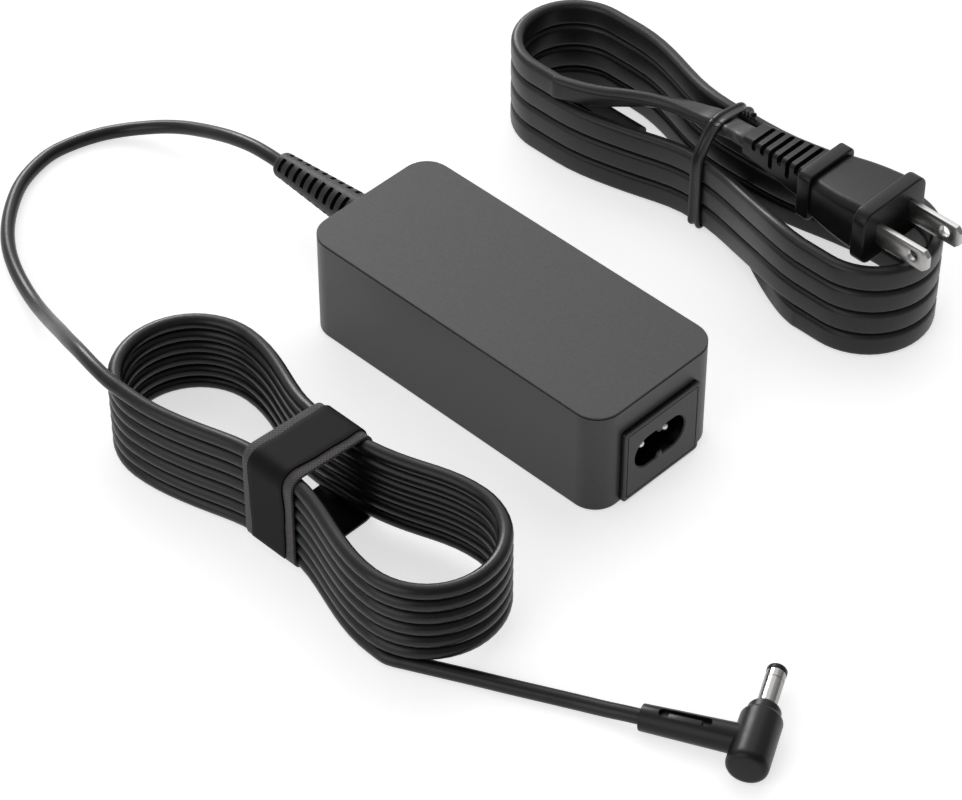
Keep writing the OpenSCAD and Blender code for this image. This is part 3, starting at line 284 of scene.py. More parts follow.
def enamelledWire(name, dark, light, pitch):
    # close turns of varnished wire: a painted highlight on each turn and painted shade between
    # turns
    finish, tree, shader, place = startFinish(name, light, 0.3, 1.55, 0.6)
    turns = addNode(tree, "ShaderNodeTexWave", {
        "Vector": place, "Scale": 1 / (pitch * 10), "Distortion": 0.4, "Detail": 1.0},
        wave_type="BANDS", bands_direction="DIAGONAL").outputs[0]
    # painted highlight and shade, in bands across the turns
    blendColours(tree, shader, turns, dark, light)
    addBump(tree, shader, turns, 0.1 * mm)
    return finish


finishes = {
    "cover": grainedCover(),
    "case": mouldedPlastic(  # dark grey, an even soft sheen
        "satin ABS", "#424242", "#464646", 0.42, gloss=0.35),
    "inlet": mouldedPlastic(  # black: painted shade on the plate's sides, its groove's walls and the recess
        "glossy black ABS painted as shade", "#050505", "#080808", 0.3, gloss=0.2),
    "inletFace": mouldedPlastic(  # flatter than the case round it
        "spark-eroded ABS", "#363636", "#3a3a3a", 0.45, gloss=0.3),
    "relief": mouldedPlastic(  # rubbery, with dull broad highlights
        "moulded soft PVC", "#141414", "#191919", 0.45, 0.3 * mm, 0.02 * mm, 0.3),
    "cord": mouldedPlastic(  # smooth from the die: a long bright line on each turn
        "extruded PVC", "#111111", "#161616", 0.33, 0.2 * mm, 0.004 * mm, 0.28),
    "flatCord": mouldedPlastic(  # greyer than the round cord, its flats even
        "extruded flat PVC", "#1e1e1e", "#242424", 0.38, 0.2 * mm, 0.004 * mm, 0.28),
    "plug": mouldedPlastic(  # near black, with clear lines along soft edges
        "satin moulded PVC", "#121212", "#161616", 0.34, 0.3 * mm, 0.01 * mm, 0.2),
    "rim": mouldedPlastic(  # the darkest plastic, against bright metal
        "black nylon", "#060606", "#090909", 0.35, gloss=0.15),
    "tie": mouldedPlastic(  # a bright line on the ridge over each wire
        "extruded tie PVC", "#121212", "#171717", 0.36, gloss=0.35),
    "barrel": metalFinish("turned nickel plate", "#959492", 0.2, 0.12 * mm, (3, 1, 3)),
    "pin": metalFinish("polished nickel plate", "#d8d7d4", 0.34, 0.2 * mm, (4, 1, 1)),
    "blade": metalFinish("rolled nickel plate", "#b4b3b1", 0.34, 0.12 * mm, (6, 1, 1),
                         0.0008 * mm),
    "strapBase": wovenStrap(),
    "strapFacing": smoothFacing(),
    "board": mouldedPlastic(  # pressed paper and resin: warm and faintly cloudy
        "paper phenolic", "#a37f40", "#b89552", 0.5, 0.4 * mm, 0.01 * mm),
    "sheet": mouldedPlastic(  # smooth film, pale and a little glossy
        "polyester film", "#d3ccb0", "#ddd7be", 0.3, 1 * mm, 0.004 * mm),
    "ferrite": mouldedPlastic(  # fired ceramic: dark, dry and gritty
        "sintered ferrite", "#2c2e30", "#3d4043", 0.6, 0.3 * mm, 0.03 * mm),
    "epoxy": mouldedPlastic(  # filled resin: matt black
        "moulded epoxy", "#191919", "#212121", 0.55, 0.3 * mm, 0.01 * mm),
    "sleeve": mouldedPlastic(  # tight thin skin: sharp highlights along the can
        "shrink sleeve", "#1d2531", "#26303f", 0.25, 2 * mm, 0.01 * mm),
    "boxYellow": mouldedPlastic(  # clean, waxy yellow
        "polypropylene box", "#c0a836", "#cdb64a", 0.35, 0.5 * mm, 0.006 * mm),
    "fuse": mouldedPlastic(  # polished brown
        "phenolic fuse", "#4b2f22", "#5e3d2d", 0.3, 1 * mm, 0.004 * mm),
    "copper": enamelledWire("enamelled copper", "#7a3f1c", "#c77a45", 0.5 * mm),
    "tape": enamelledWire("taped windings", "#b8922a", "#dcb843", 1.2 * mm),
    "aluminium": metalFinish("rolled aluminium", "#b9bcbe", 0.35, 0.15 * mm, (8, 1, 1)),
}

nodeFinish = {
    "cover": ["top_cover"],
    "case": ["case_shell"],
    "relief": ["output_strain_relief"],
    "cord": ["output_wires"],
    "plug": ["connector_body", "connector_sleeve"],
    "barrel": ["barrel_sleeve", "barrel_contact", "connector_contacts"],
    "pin": ["inlet_pin_near", "inlet_pin_far"],
    "board": ["circuit_board"],
    "sheet": ["insulating_sheet"],
    "ferrite": ["choke_core", "transformer_core"],
    "epoxy": ["bridge_rectifier", "switching_transistor", "output_rectifier"],
    "sleeve": ["bulk_capacitor", "output_capacitors"],
    "boxYellow": ["x_capacitor"],
    "fuse": ["fuse"],
    "copper": ["choke_windings"],
    "tape": ["transformer_windings"],
    "aluminium": ["primary_heat_sink", "secondary_heat_sink"],
}

for finishName, nodeNames in nodeFinish.items():
    for nodeName in nodeNames:
        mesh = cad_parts[nodeName].data
        mesh.materials.clear()
        mesh.materials.append(finishes[finishName])
print("finishes made")

# cords

hankStations = 96  # points on one turn of a hank

outputCord = {
    "diameter": 3.8,  # mm, as are all the values here
    "pitch": 4,  # from one turn down to the next
    "loops": 6,
    "left": (-40, -69.4),  # middle of the hank's left end
    "leftRadius": 18.6,
    "right": (42.4, -71),
    "rightRadius": 18,
    "straight": (0, 0),  # of each run, before the left end and the right
    "middle": (2.6, -71),  # of the waist under the strap
    "waist": 10.4,  # half the hank's width there
    "waistFlat": 4.8,
    "lift": 1.1,  # over the strap's lower layer
    "top": 25.9,  # z of the first turn
    "lead": [
        (-88, 5.2, 15.5), (-93, 5.2, 15.5), (-99, 5.2, 15), (-106, 5, 13.6), (-112, 4.7, 11.9),
        (-118, 4.4, 9.8), (-124, 3.5, 7.8), (-130, 1.6, 5.8), (-135.5, -1.4, 4), (-140, -5.2, 2.8),
        (-143.5, -10.2, 2.2), (-146, -16.8, 1.9), (-147, -24, 1.9), (-145.8, -31.2, 1.9),
        (-143, -38.4, 1.9), (-138.4, -45.2, 1.9), (-132.4, -51.8, 1.9), (-125.6, -57.2, 1.9),
        (-118, -61.4, 2), (-110, -64.8, 2.6), (-102, -67.9, 4.2), (-94.4, -71, 7.2),
        (-86.6, -74.6, 11.6), (-78.8, -78.4, 16.6), (-71, -82, 21), (-63.4, -84.8, 24.2),
        (-56, -86.8, 25.6), (-49, -87.9, 25.9), (-43.8, -88, 25.9),
    ],
    "tail": [
        (46.2, -89, 1.9), (48.5, -88.3, 1.9), (51.5, -86.8, 1.9), (58, -83.5, 1.9),
        (65.5, -79.7, 1.9), (73, -76, 1.9), (80.5, -72.2, 1.9), (88, -68.5, 2), (94, -66, 2.5),
        (98.38, -64.1, 2.97), (102.04, -62.49, 3.25),
    ],
}

mainsCord = {
    "width": 6.9,
    "thickness": 3.5,
    "edgeRadius": 1.5,
    "pitch": 7.2,  # from one turn up to the next
    "loops": 4,
    "left": (-58.1, 85.8),
    "leftRadius": 15.5,
    "right": (47.4, 81.8),
    "rightRadius": 16.6,
    "straight": (8.5, 8),
    "waistX": -5.75,  # of the waist in the tie
    "waistFlat": 1.75,
    "near": 77.4,  # y of the two runs there
    "far": 92.4,
    "lift": 1.1,  # over the tie's lower side
    "floor": 3.45,  # z of the lowest turn
    "climbFrom": -1.8,  # x where the near run starts up to the next turn
    "climbTo": 34.2,
    "connectorLead": [  # place, and turn in degrees about the cord's own line
        (-25, 82.6, 4.25, -90), (-23, 82.6, 4.25, -90), (-16, 82.9, 3.4, -90),
        (-7.5, 83.3, 2.9, -90), (-4, 83.3, 2.9, -90), (2, 82.4, 2.1, -90), (6, 81.3, 1.9, -90),
        (10, 79.8, 1.8, -90), (14, 77.9, 1.9, -88), (18, 75.6, 2.4, -72), (22, 73, 3.1, -45),
        (26, 70.3, 3.4, -20), (30, 68, 3.4, -4), (34.5, 66.1, 3.45, 0), (38.5, 65.2, 3.45, 0),
        (40.5, 65.2, 3.45, 0),
    ],
    "plugLead": [
        (-51.2, 70.3, 25.05, 0), (-49.6, 70.3, 25.05, 0), (-44, 72.2, 25.2, 8), (-38, 75, 25.6, 20),
        (-33.6, 77.6, 26.2, 30), (-29.5, 79.8, 26.8, 40), (-25.4, 81.7, 27.3, 50),
        (-20.4, 83.3, 27.8, 62), (-15.4, 84.2, 28.3, 75), (-11, 84.7, 28.8, 85),
        (-7.5, 85, 29.4, 90), (-4, 85, 29.4, 90), (0, 84.2, 30.5, 90), (3.2, 82.8, 32.1, 90),
        (5.6, 81.8, 33.1, 90), (7.6, 81.8, 33.1, 90),
    ],
}


def mix(a, b, t):
    return a + (b - a) * t


def ease(t):
    # 0 to 1, with a soft start and end
    return (1 - math.cos(math.pi * min(max(t, 0), 1))) / 2


def runY(x, waistX, flat, waistY, leftX, leftY, rightX, rightY):
    # a run between two ends of the hank, drawn in at the waist
    if x < waistX:
        return mix(waistY, leftY, ease((waistX - flat - x) / (waistX - flat - leftX)))
    return mix(waistY, rightY, ease((x - waistX - flat) / (rightX - waistX - flat)))


def hankPlan(turn, c, waistX, nearY, farY):
    # point of the plan at a turn from 0 to 1: near run, right end, far run, left end
    left, right = c["left"], c["right"]
    part = int(turn * 4)
    t = turn * 4 - part
    if part in (0, 2):
        s = t if part == 0 else 1 - t
        x = mix(left[0], waistX, 2 * s) if s < 0.5 else mix(waistX, right[0], 2 * s - 1)
        side = -1 if part == 0 else 1
        return x, runY(x, waistX, c["waistFlat"], nearY if part == 0 else farY,
                       left[0] + c["straight"][0], left[1] + side * c["leftRadius"],
                       right[0] - c["straight"][1], right[1] + side * c["rightRadius"])
    centre, radius, sign = ((right, c["rightRadius"], 1) if part == 1
                            else (left, c["leftRadius"], -1))
    angle = math.pi * t
    return (centre[0] + sign * radius * math.sin(angle),
            centre[1] - sign * radius * math.cos(angle))


def waistLift(x, waistX, flat, lift, reach=20):
    return lift * (1 - ease((abs(x - waistX) - flat) / reach))


def smoothPath(points, steps):
    # a curve through every point, as tuples of any length
    made = []
    for i in range(len(points) - 1):
        a, b, c, d = (points[max(i - 1, 0)], points[i], points[i + 1],
                      points[min(i + 2, len(points) - 1)])
        for k in range(steps):
            t = k / steps
            made.append(tuple(
                0.5 * (2 * q + (r - p) * t + (2 * p - 5 * q + 4 * r - s) * t * t
                       + (3 * q - p - 3 * r + s) * t ** 3)
                for p, q, r, s in zip(a, b, c, d)))
    return made + [points[-1]]


def outputHankPath(stations):
    # from the top down: the cord sinks by a pitch along each far run
    c = outputCord
    waistX, waistY = c["middle"]
    made = []
    for i in range(stations * c["loops"] + stations // 4 + 1):
        turn = (i % stations) / stations
        x, y = hankPlan(turn, c, waistX, waistY - c["waist"], waistY + c["waist"])
        sunk = i // stations + ease(4 * turn - 2)
        onRun = turn < 0.25 or 0.5 < turn < 0.75
        lift = waistLift(x, waistX, c["waistFlat"], c["lift"]) if onRun else 0
        made.append((x, y, c["top"] - sunk * c["pitch"] + lift))
    return made


def mainsHankPath(stations):
    # from the bottom up: the cord climbs by a pitch along each near run
    c = mainsCord
    made = []
    for i in range(stations // 4, stations * c["loops"] + 1):
        turn = (i % stations) / stations
        x, y = hankPlan(turn, c, c["waistX"], c["near"], c["far"])
        climb = ease((x - c["climbFrom"]) / (c["climbTo"] - c["climbFrom"])) if turn < 0.25 else 1
        onRun = 0 < turn < 0.25 or 0.5 < turn < 0.75
        lift = waistLift(x, c["waistX"], c["waistFlat"], c["lift"]) if onRun else 0
        made.append((x, y, c["floor"] + (i // stations - 1 + climb) * c["pitch"] + lift))
    return made


def pathFrames(path, turns, upright):
    # at each point of a path: the point, the direction across it and the direction up
    frames = []
    last = len(path) - 1
    for i, point in enumerate(path):
        ahead = (path[min(i + 1, last)] - path[max(i - 1, 0)]).normalized()
        side = Vector((-ahead.y, ahead.x, 0)).normalized()
        up = Vector((0, 0, 1)) if upright[i] else ahead.cross(side)
        c, s = math.cos(math.radians(turns[i])), math.sin(math.radians(turns[i]))
        frames.append((point, side * c + up * s, up * c - side * s))
    return frames


def sweep(bm, frames, section, closed=False):
    # one tube: the section placed on each frame, its ends capped unless it closes on itself
    rings = [[bm.verts.new(point + u * side + v * up) for u, v in section]
             for point, side, up in frames]
    count = len(section)
    for a, b in zip(rings, rings[1:] + rings[:1] if closed else rings[1:]):
        for k in range(count):
            bm.faces.new((a[k], a[(k + 1) % count], b[(k + 1) % count], b[k]))
    if not closed:
        bm.faces.new(rings[0][::-1])
        bm.faces.new(rings[-1])


def closeMesh(bm, name, sharp):
    # from mm to metres; smooth faces, with a hard line wherever two meet at more than an angle
    bmesh.ops.remove_doubles(bm, verts=bm.verts, dist=0.0005)
    bmesh.ops.recalc_face_normals(bm, faces=bm.faces)
    for face in bm.faces:
        face.smooth = True
    for edge in bm.edges:
        edge.smooth = edge.calc_face_angle(0) < math.radians(sharp)
    bmesh.ops.scale(bm, vec=(mm, mm, mm), verts=bm.verts)
    mesh = bpy.data.meshes.new(name)
    bm.to_mesh(mesh)
    bm.free()
    return mesh


def addPiece(name, bm, body, finish, *replaced, sharp=35):
    mesh = closeMesh(bm, name, sharp)
    piece = bpy.data.objects.new(name, mesh)
    bpy.context.scene.collection.objects.link(piece)
    mesh.materials.append(finish)
    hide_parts(*replaced)
    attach(piece, body)
    return piece


def roundedSection(w, h, r, steps):
    # a rectangle with round corners, each of a number of steps
    made = []
    for k, (sx, sy) in enumerate(((1, 1), (-1, 1), (-1, -1), (1, -1))):
        for i in range(steps + 1):
            angle = math.radians(90 * (k + i / steps))
            made.append((sx * (w / 2 - r) + r * math.cos(angle),
                         sy * (h / 2 - r) + r * math.sin(angle)))
    return made


def circle(radius, steps):
    return [(radius * math.cos(math.tau * k / steps), radius * math.sin(math.tau * k / steps))
            for k in range(steps)]


def cordLength(path):
    return sum((b - a).length for a, b in zip(path, path[1:]))


def cordThrough(lead, hank, tail, section, steps=6):
    # one tube along three lists of (x, y, z, turn), upright in its hank, and its path in metres
    lead = smoothPath(lead + hank[:1], steps)[:-1]
    tail = smoothPath(hank[-1:] + tail, steps)[1:]
    points = lead + hank + tail
    path = [Vector(p[:3]) for p in points]
    upright = [False] * len(lead) + [True] * len(hank) + [False] * len(tail)
    bm = bmesh.new()
    sweep(bm, pathFrames(path, [p[3] for p in points], upright), section)
    return bm, [p * mm for p in path]


def makeOutputCord():
    c = outputCord
    lead, hank, tail = ([p + (0,) for p in points]
                        for points in (c["lead"], outputHankPath(hankStations), c["tail"]))
    bm, path = cordThrough(lead, hank, tail, circle(c["diameter"] / 2, 20))
    cord = addPiece("output_cord", bm, "adapter", finishes["cord"],
                    "output_lead", "output_hank", "output_tail")
    return cord, path


def makeMainsCord():
    c = mainsCord
    hank = [p + (0,) for p in mainsHankPath(hankStations)]
    bm, path = cordThrough(c["connectorLead"], hank, c["plugLead"],
                           roundedSection(c["thickness"], c["width"], c["edgeRadius"], 5))
    cord = addPiece("mains_cord", bm, "mains_lead", finishes["flatCord"],
                    "mains_hank", "mains_plug_lead", "mains_connector_lead")
    return cord, path


outputCordPiece, outputPath = makeOutputCord()
mainsCordPiece, mainsPath = makeMainsCord()
print("cords made:", *(round(cordLength(path), 3) for path in (outputPath, mainsPath)))

# ways of shaping, all in mm


def addLoop(bm, points):
    verts = [bm.verts.new(p) for p in points]
    return [bm.edges.new(pair) for pair in zip(verts, verts[1:] + verts[:1])]


def extrudeEdges(bm, edges):
    # the new vertices, and the new edges that join them
    made = bmesh.ops.extrude_edge_only(bm, edges=edges)["geom"]
    verts = [v for v in made if isinstance(v, bmesh.types.BMVert)]
    return verts, [e for e in made if isinstance(e, bmesh.types.BMEdge)
                   and e.verts[0] in verts and e.verts[1] in verts]


def loft(bm, loops, capped=True):
    # a closed loop of points, extruded and moved on to each of the next
    verts = [bm.verts.new(p) for p in loops[0]]
    edges = [bm.edges.new(pair) for pair in zip(verts, verts[1:] + verts[:1])]
    rings = [edges]
    for points in loops[1:]:
        made, edges = extrudeEdges(bm, edges)
        fresh = {v.co.to_tuple(4): v for v in made}
        verts = [fresh[v.co.to_tuple(4)] for v in verts]
        for vert, point in zip(verts, points):
            vert.co = point
        rings.append(edges)
    if capped:
        for ring in (rings[0], rings[-1]):
            bmesh.ops.contextual_create(bm, geom=ring)
    bmesh.ops.recalc_face_normals(bm, faces=bm.faces)
    return rings


def soften(bm, radius, segments=2, sharp=40):
    bmesh.ops.recalc_face_normals(bm, faces=bm.faces)
    edges = [e for e in bm.edges if e.calc_face_angle(0) > math.radians(sharp)]
    bmesh.ops.bevel(bm, geom=edges, offset=radius, offset_type="OFFSET", segments=segments,
                    profile=0.5, affect="EDGES", clamp_overlap=True, material=-1)


def asMesh(bm):
    bmesh.ops.recalc_face_normals(bm, faces=bm.faces)
    mesh = bpy.data.meshes.new("work")
    bm.to_mesh(mesh)
    bm.free()
    return mesh


def combine(body, tools, operation):
    # joins tools to a body, or cuts them out of it, and gives the result as a bmesh
    made = []
    for mesh in [body] + tools:
        made.append(bpy.data.objects.new("work", mesh))
        bpy.context.scene.collection.objects.link(made[-1])
    for tool in made[1:]:
        step = made[0].modifiers.new("step", "BOOLEAN")
        step.operation = operation
        step.solver = "EXACT"
        step.object = tool
    shaped = made[0].evaluated_get(bpy.context.evaluated_depsgraph_get())
    bm = bmesh.new()
    bm.from_mesh(shaped.to_mesh())
    shaped.to_mesh_clear()
    for work in made:
        mesh = work.data
        bpy.data.objects.remove(work)
        bpy.data.meshes.remove(mesh)
    return bm


def spinProfile(bm, profile, steps):
    # profile of (radius, height) turned about the Z axis
    verts = [bm.verts.new((r, 0, z)) for r, z in profile]
    edges = [bm.edges.new(pair) for pair in zip(verts, verts[1:])]
    bmesh.ops.spin(bm, geom=verts + edges, cent=(0, 0, 0), axis=(0, 0, 1), angle=math.tau,
                   steps=steps, use_merge=True)
    bmesh.ops.remove_doubles(bm, verts=bm.verts, dist=0.0005)
    bmesh.ops.recalc_face_normals(bm, faces=bm.faces)


def softCorners(corners, steps=6):
    # a closed outline: each corner (y, z, radius) rounded
    outline = []
    for i, (y, z, r) in enumerate(corners):
        here = Vector((y, z))
        before = (Vector(corners[i - 1][:2]) - here).normalized() * r
        after = (Vector(corners[(i + 1) % len(corners)][:2]) - here).normalized() * r
        for k in range(steps + 1):
            t = k / steps
            outline.append(here + before * (1 - t) ** 2 + after * t ** 2)
    return outline


def evenly(outline, step):
    # the same closed outline with its points a step apart
    made = []
    for a, b in zip(outline, outline[1:] + outline[:1]):
        count = max(1, round((b - a).length / step))
        made += [a.lerp(b, k / count) for k in range(count)]
    return made


# mains inlet

inlet = {
    "face": 51.5,  # x of the plate's front
    "wall": 50,  # x of the case's end
    "back": 36.5,
    "plate": (27, 22.5),  # width and height in front of the wall
    "body": (23.4, 18.9),  # and behind it
    "middle": 12.15,  # z
    "corner": 1,
    "edge": 0.3,
    "groove": (1, 0.25, 0.25),  # inset, width, depth
    "skin": 0.5,  # how deep the plate's grey goes; behind it the plate's sides, the groove's walls and the recess are black, painted shade
    "recess": (17, 8.4),
    "recessMiddle": (-0.72, 12.95),  # y and z
    "depth": 12,
    "mouthBevel": 0.35,
    "spread": 0.4,  # how much wider the recess is than its standard nose
    "key": (1.3, 2),  # height, width at its tip
}


def recessOutline(grow):
    # two round ends, with a key between them above and below
    w, h = inlet["recess"]
    high, tip = inlet["key"]
    radius = h / 2 + grow
    outline = []
    for end in (1, -1):
        for k in range(17):
            angle = math.radians(-84 + 168 * k / 16)
            outline.append((end * (w / 2 - h / 2 + radius * math.cos(angle)),
                            end * radius * math.sin(angle)))
        root = (tip + high) / 2 - grow
        for y, z in ((root, radius), (tip / 2 - grow, h / 2 - high + grow),
                     (grow - tip / 2, h / 2 - high + grow), (-root, radius)):
            outline.append((end * y, end * z))
    return outline


def makeInlet():
    c = inlet
    inset, width, deep = c["groove"]

    def plateLoop(x, shrink, size=c["plate"]):
        return [(x, u, c["middle"] + v) for u, v in roundedSection(
            size[0] - 2 * shrink, size[1] - 2 * shrink, max(c["corner"] - shrink / 2, 0.3), 5)]

    bm = bmesh.new()
    rings = loft(bm, [
        plateLoop(c["back"], 0, c["body"]), plateLoop(c["wall"], 0, c["body"]),
        plateLoop(c["wall"], 0), plateLoop(c["face"] - c["edge"], 0),
        plateLoop(c["face"] - 0.3 * c["edge"], 0.3 * c["edge"]), plateLoop(c["face"], c["edge"]),
        plateLoop(c["face"], inset), plateLoop(c["face"] - deep, inset),
        plateLoop(c["face"] - deep, inset + width), plateLoop(c["face"], inset + width),
    ], capped=False)
    bmesh.ops.contextual_create(bm, geom=rings[0])
    recess = loft(bm, [
        [(x, c["recessMiddle"][0] + y, c["recessMiddle"][1] + z) for y, z in recessOutline(grow)]
        for x, grow in ((c["face"], c["spread"] + c["mouthBevel"]),
                        (c["face"] - c["mouthBevel"], c["spread"]),
                        (c["face"] - c["depth"], c["spread"]))
    ], capped=False)
    bmesh.ops.contextual_create(bm, geom=recess[-1])
    bmesh.ops.triangle_fill(bm, use_beauty=True, use_dissolve=False, edges=rings[-1] + recess[0])
    bmesh.ops.recalc_face_normals(bm, faces=bm.faces)
    # front faces keep the plate's grey; every other face takes the black finish, painted shade
    for face in bm.faces:
        front = face.normal.x > 0.25 and face.calc_center_median().x > c["face"] - c["skin"]
        face.material_index = 0 if front else 1
    piece = addPiece("inlet_housing_moulding", bm, "adapter", finishes["inletFace"],
                     "inlet_housing", sharp=30)
    piece.data.materials.append(finishes["inlet"])


makeInlet()
print("inlet made")

# strap

strap = {
    "middle": 2.6,  # x
    "width": 16.6,
    "facingWidth": 11.6,
    "thickness": 0.8,
    "facingThickness": 0.6,
    "inside": [  # corners (y, z, radius) of its inner face, near bottom first
        (-83.6, 0.8, 3.6), (-83.5, 29.2, 3.2), (-58.4, 27.4, 3), (-58.2, 0.8, 3),
    ],
    "heart": (-71, 14),  # y and z of the hank's middle
    "facingFrom": 2.9,  # z where the facing starts and ends
    "sunk": 0.02,  # of the facing in the base
    "columns": 8,
    "wander": 0.22,  # how far the facing's edges stray
    "softEdge": 0.12,
}


def makeBand(outline, closed, half, thickness, wander=0):
    # a strip bent along an outline, then given its thickness outwards
    bm = bmesh.new()
    verts = [bm.verts.new((strap["middle"] - half, y, z)) for y, z in outline]
    edges = [bm.edges.new(pair) for pair in zip(verts, verts[1:])]
    if closed:
        edges.append(bm.edges.new((verts[-1], verts[0])))
    firstRow = verts
    for _ in range(strap["columns"]):
        verts, edges = extrudeEdges(bm, edges)
        bmesh.ops.translate(bm, verts=verts, vec=(2 * half / strap["columns"], 0, 0))
    for v in firstRow + verts:  # its two long edges stray in slow waves
        v.co.x += wander * (math.sin(0.21 * (v.co.y + v.co.z) + 0.4 * v.co.x)
                            + 0.5 * math.sin(0.53 * (v.co.y - v.co.z)))
    bmesh.ops.recalc_face_normals(bm, faces=bm.faces)
    top = max(bm.faces, key=lambda f: f.calc_center_median().z)
    if top.normal.z < 0:
        bmesh.ops.reverse_faces(bm, faces=bm.faces)
    bmesh.ops.solidify(bm, geom=bm.faces[:], thickness=-thickness)
    soften(bm, strap["softEdge"], 2, 60)
    heart = Vector((strap["middle"], *strap["heart"]))
    for face in bm.faces:
        inwards = face.normal.dot(heart - face.calc_center_median()) > 0
        face.material_index = 1 if inwards and abs(face.normal.x) < 0.5 else 0
    return bm


def makeStrap():
    c = strap
    inside = evenly(softCorners(c["inside"]), 1.0)
    base = addPiece("strap_webbing", makeBand(inside, True, c["width"] / 2, c["thickness"]),
                    "adapter", finishes["strapBase"], "strap_base")
    base.data.materials.append(finishes["strapFacing"])  # its inner side is smooth and black
    # the facing goes over the top, from above one lower bend to above the other
    over = []
    for a, b in zip(inside, inside[1:] + inside[:1]):
        along = (b - a).normalized()
        over.append(a + Vector((-along.y, along.x)) * (c["thickness"] - c["sunk"]))
    over = [p for p in over if p.y > c["facingFrom"]]
    start = min(range(len(over)), key=lambda i: (over[i].x > c["heart"][0] + 1, over[i].y))
    over = over[start:] + over[:start]
    facing = addPiece("strap_loop_facing", makeBand(over, False, c["facingWidth"] / 2,
                                                    c["facingThickness"], c["wander"]),
                      "adapter", finishes["strapFacing"], "strap_facing")
    facing.data.materials.append(finishes["strapFacing"])
    return [base, facing]


strapPieces = makeStrap()
print("strap made")

# twist tie

tie = {
    "middle": -4.9,  # x
    "inside": [  # corners (y, z, radius), near bottom first
        (75.2, 0.8, 1.6), (75.2, 23.6, 5), (80.4, 30.4, 3.5), (83.2, 31.45, 2.5),
        (87.2, 31.45, 3.5), (94.7, 29.9, 2.6), (94.7, 0.8, 1.6),
    ],
    "section": [  # across and out: flat inside, a ridge over each wire
        (1.9, 0), (1.9, 0.35), (1.7, 0.68), (1.3, 0.8), (0.9, 0.7), (0.6, 0.4), (0.4, 0.33),
        (-0.4, 0.33), (-0.6, 0.4), (-0.9, 0.7), (-1.3, 0.8), (-1.7, 0.68), (-1.9, 0.35), (-1.9, 0),
    ],
    "knot": (-3.8, 90.9, 30.6),  # where the two ends start to twist
    "knotLength": 3.8,
    "knotTurns": 1.75,
    "knotDrift": 0.5,  # to the far side, over its length
    "splay": (0.75, 0.8),  # share of the knot after which its ends part, and how far
    "wire": 1.15,
}


def makeTie():
    c = tie
    bm = bmesh.new()
    outline = evenly(softCorners(c["inside"], 8), 1.2)
    frames = []
    for i, p in enumerate(outline):
        along = (outline[(i + 1) % len(outline)] - outline[i - 1]).normalized()
        frames.append((Vector((c["middle"], p.x, p.y)), Vector((1, 0, 0)),
                       Vector((0, -along.y, along.x))))
    sweep(bm, frames, c["section"], closed=True)
    start = Vector(c["knot"])
    splayFrom, splay = c["splay"]
    for half in (0, 1):
        path = []
        for k in range(41):
            t = k / 40
            angle = math.tau * (c["knotTurns"] * t + half / 2)
            wide = 0.48 * c["wire"] * (1 + splay * max(0, t - splayFrom))
            path.append(start + Vector((c["knotLength"] * t,
                                        wide * math.cos(angle) + c["knotDrift"] * t,
                                        wide * math.sin(angle))))
        sweep(bm, pathFrames(path, [0] * len(path), [False] * len(path)), circle(c["wire"] / 2, 10))
    piece = addPiece("tie_ribbon", bm, "mains_lead", finishes["tie"], "twist_tie")
    return piece


tiePiece = makeTie()
print("tie made")

# mains plug

mainsPlug = {
    "face": (54, 82.1, 33.4),  # its middle, between the blades
    "length": 24.6,
    "front": (24.2, 16, 0, 4.2, 3.4),  # flange: width, height, rise, thickness, corner
    "rear": (17.8, 14.4, -0.4, 4, 1.8),
    "gripRear": (15, 11.4, -0.5),  # width, height, rise
    "gripFront": (19.4, 15.96, 0),
    "gripCorner": 2.4,
    "gripSunk": (1, 0.8),  # how far it stops short of the plug's two ends, inside the flanges
    "gripStations": 14,
    "bulge": 0.9,  # of each flank of the grip, half-way
    "soft": 0.5,
}

plugSleeve = {
    "ends": (7.6, 29.6),  # x of its tip and its root
    "tip": (8.6, 5.8),
    "root": (12, 10),
    "corner": 1.2,
    "slots": 6,
    "pitch": 3,
    "slotWidth": 1.45,
    "margin": 2.4,  # from the root to the first slot
    "core": (7.5, 4.3),  # what the slots leave round the cord
    "spine": 1.1,  # what they leave along the far edge
    "reach": 2.5,  # how far a slot runs down the side
    "longReach": 5.2,
    "long": (3, 1),  # the slots that do, counted from the root
}


def makeMainsPlug():
    c = mainsPlug
    x0, y0, z0 = c["face"]

    def section(x, width, height, rise, corner):
        return [(x0 + x, y0 + u, z0 + rise + v)
                for u, v in roundedSection(width, height, corner, 6)]

    def flange(start, size):
        width, height, rise, thickness, corner = size
        bm = bmesh.new()
        loft(bm, [section(x, width, height, rise, corner) for x in (start, start + thickness)])
        soften(bm, c["soft"], 3)
        return asMesh(bm)

    start, end = -c["length"] + c["gripSunk"][0], -c["gripSunk"][1]
    grip = bmesh.new()
    loops = []
    for k in range(c["gripStations"] + 1):
        share = k / c["gripStations"]
        width, height, rise = (mix(a, b, share) for a, b in zip(c["gripRear"], c["gripFront"]))
        width += 2 * c["bulge"] * math.sin(math.pi * share)
        loops.append(section(mix(start, end, share), width, height, rise, c["gripCorner"]))
    loft(grip, loops)
    whole = combine(asMesh(grip), [flange(-c["length"], c["rear"]),
                                   flange(-c["front"][3], c["front"])], "UNION")
    piece = addPiece("mains_plug_moulding", whole, "mains_lead", finishes["plug"],
                     "mains_plug_body")
    return piece


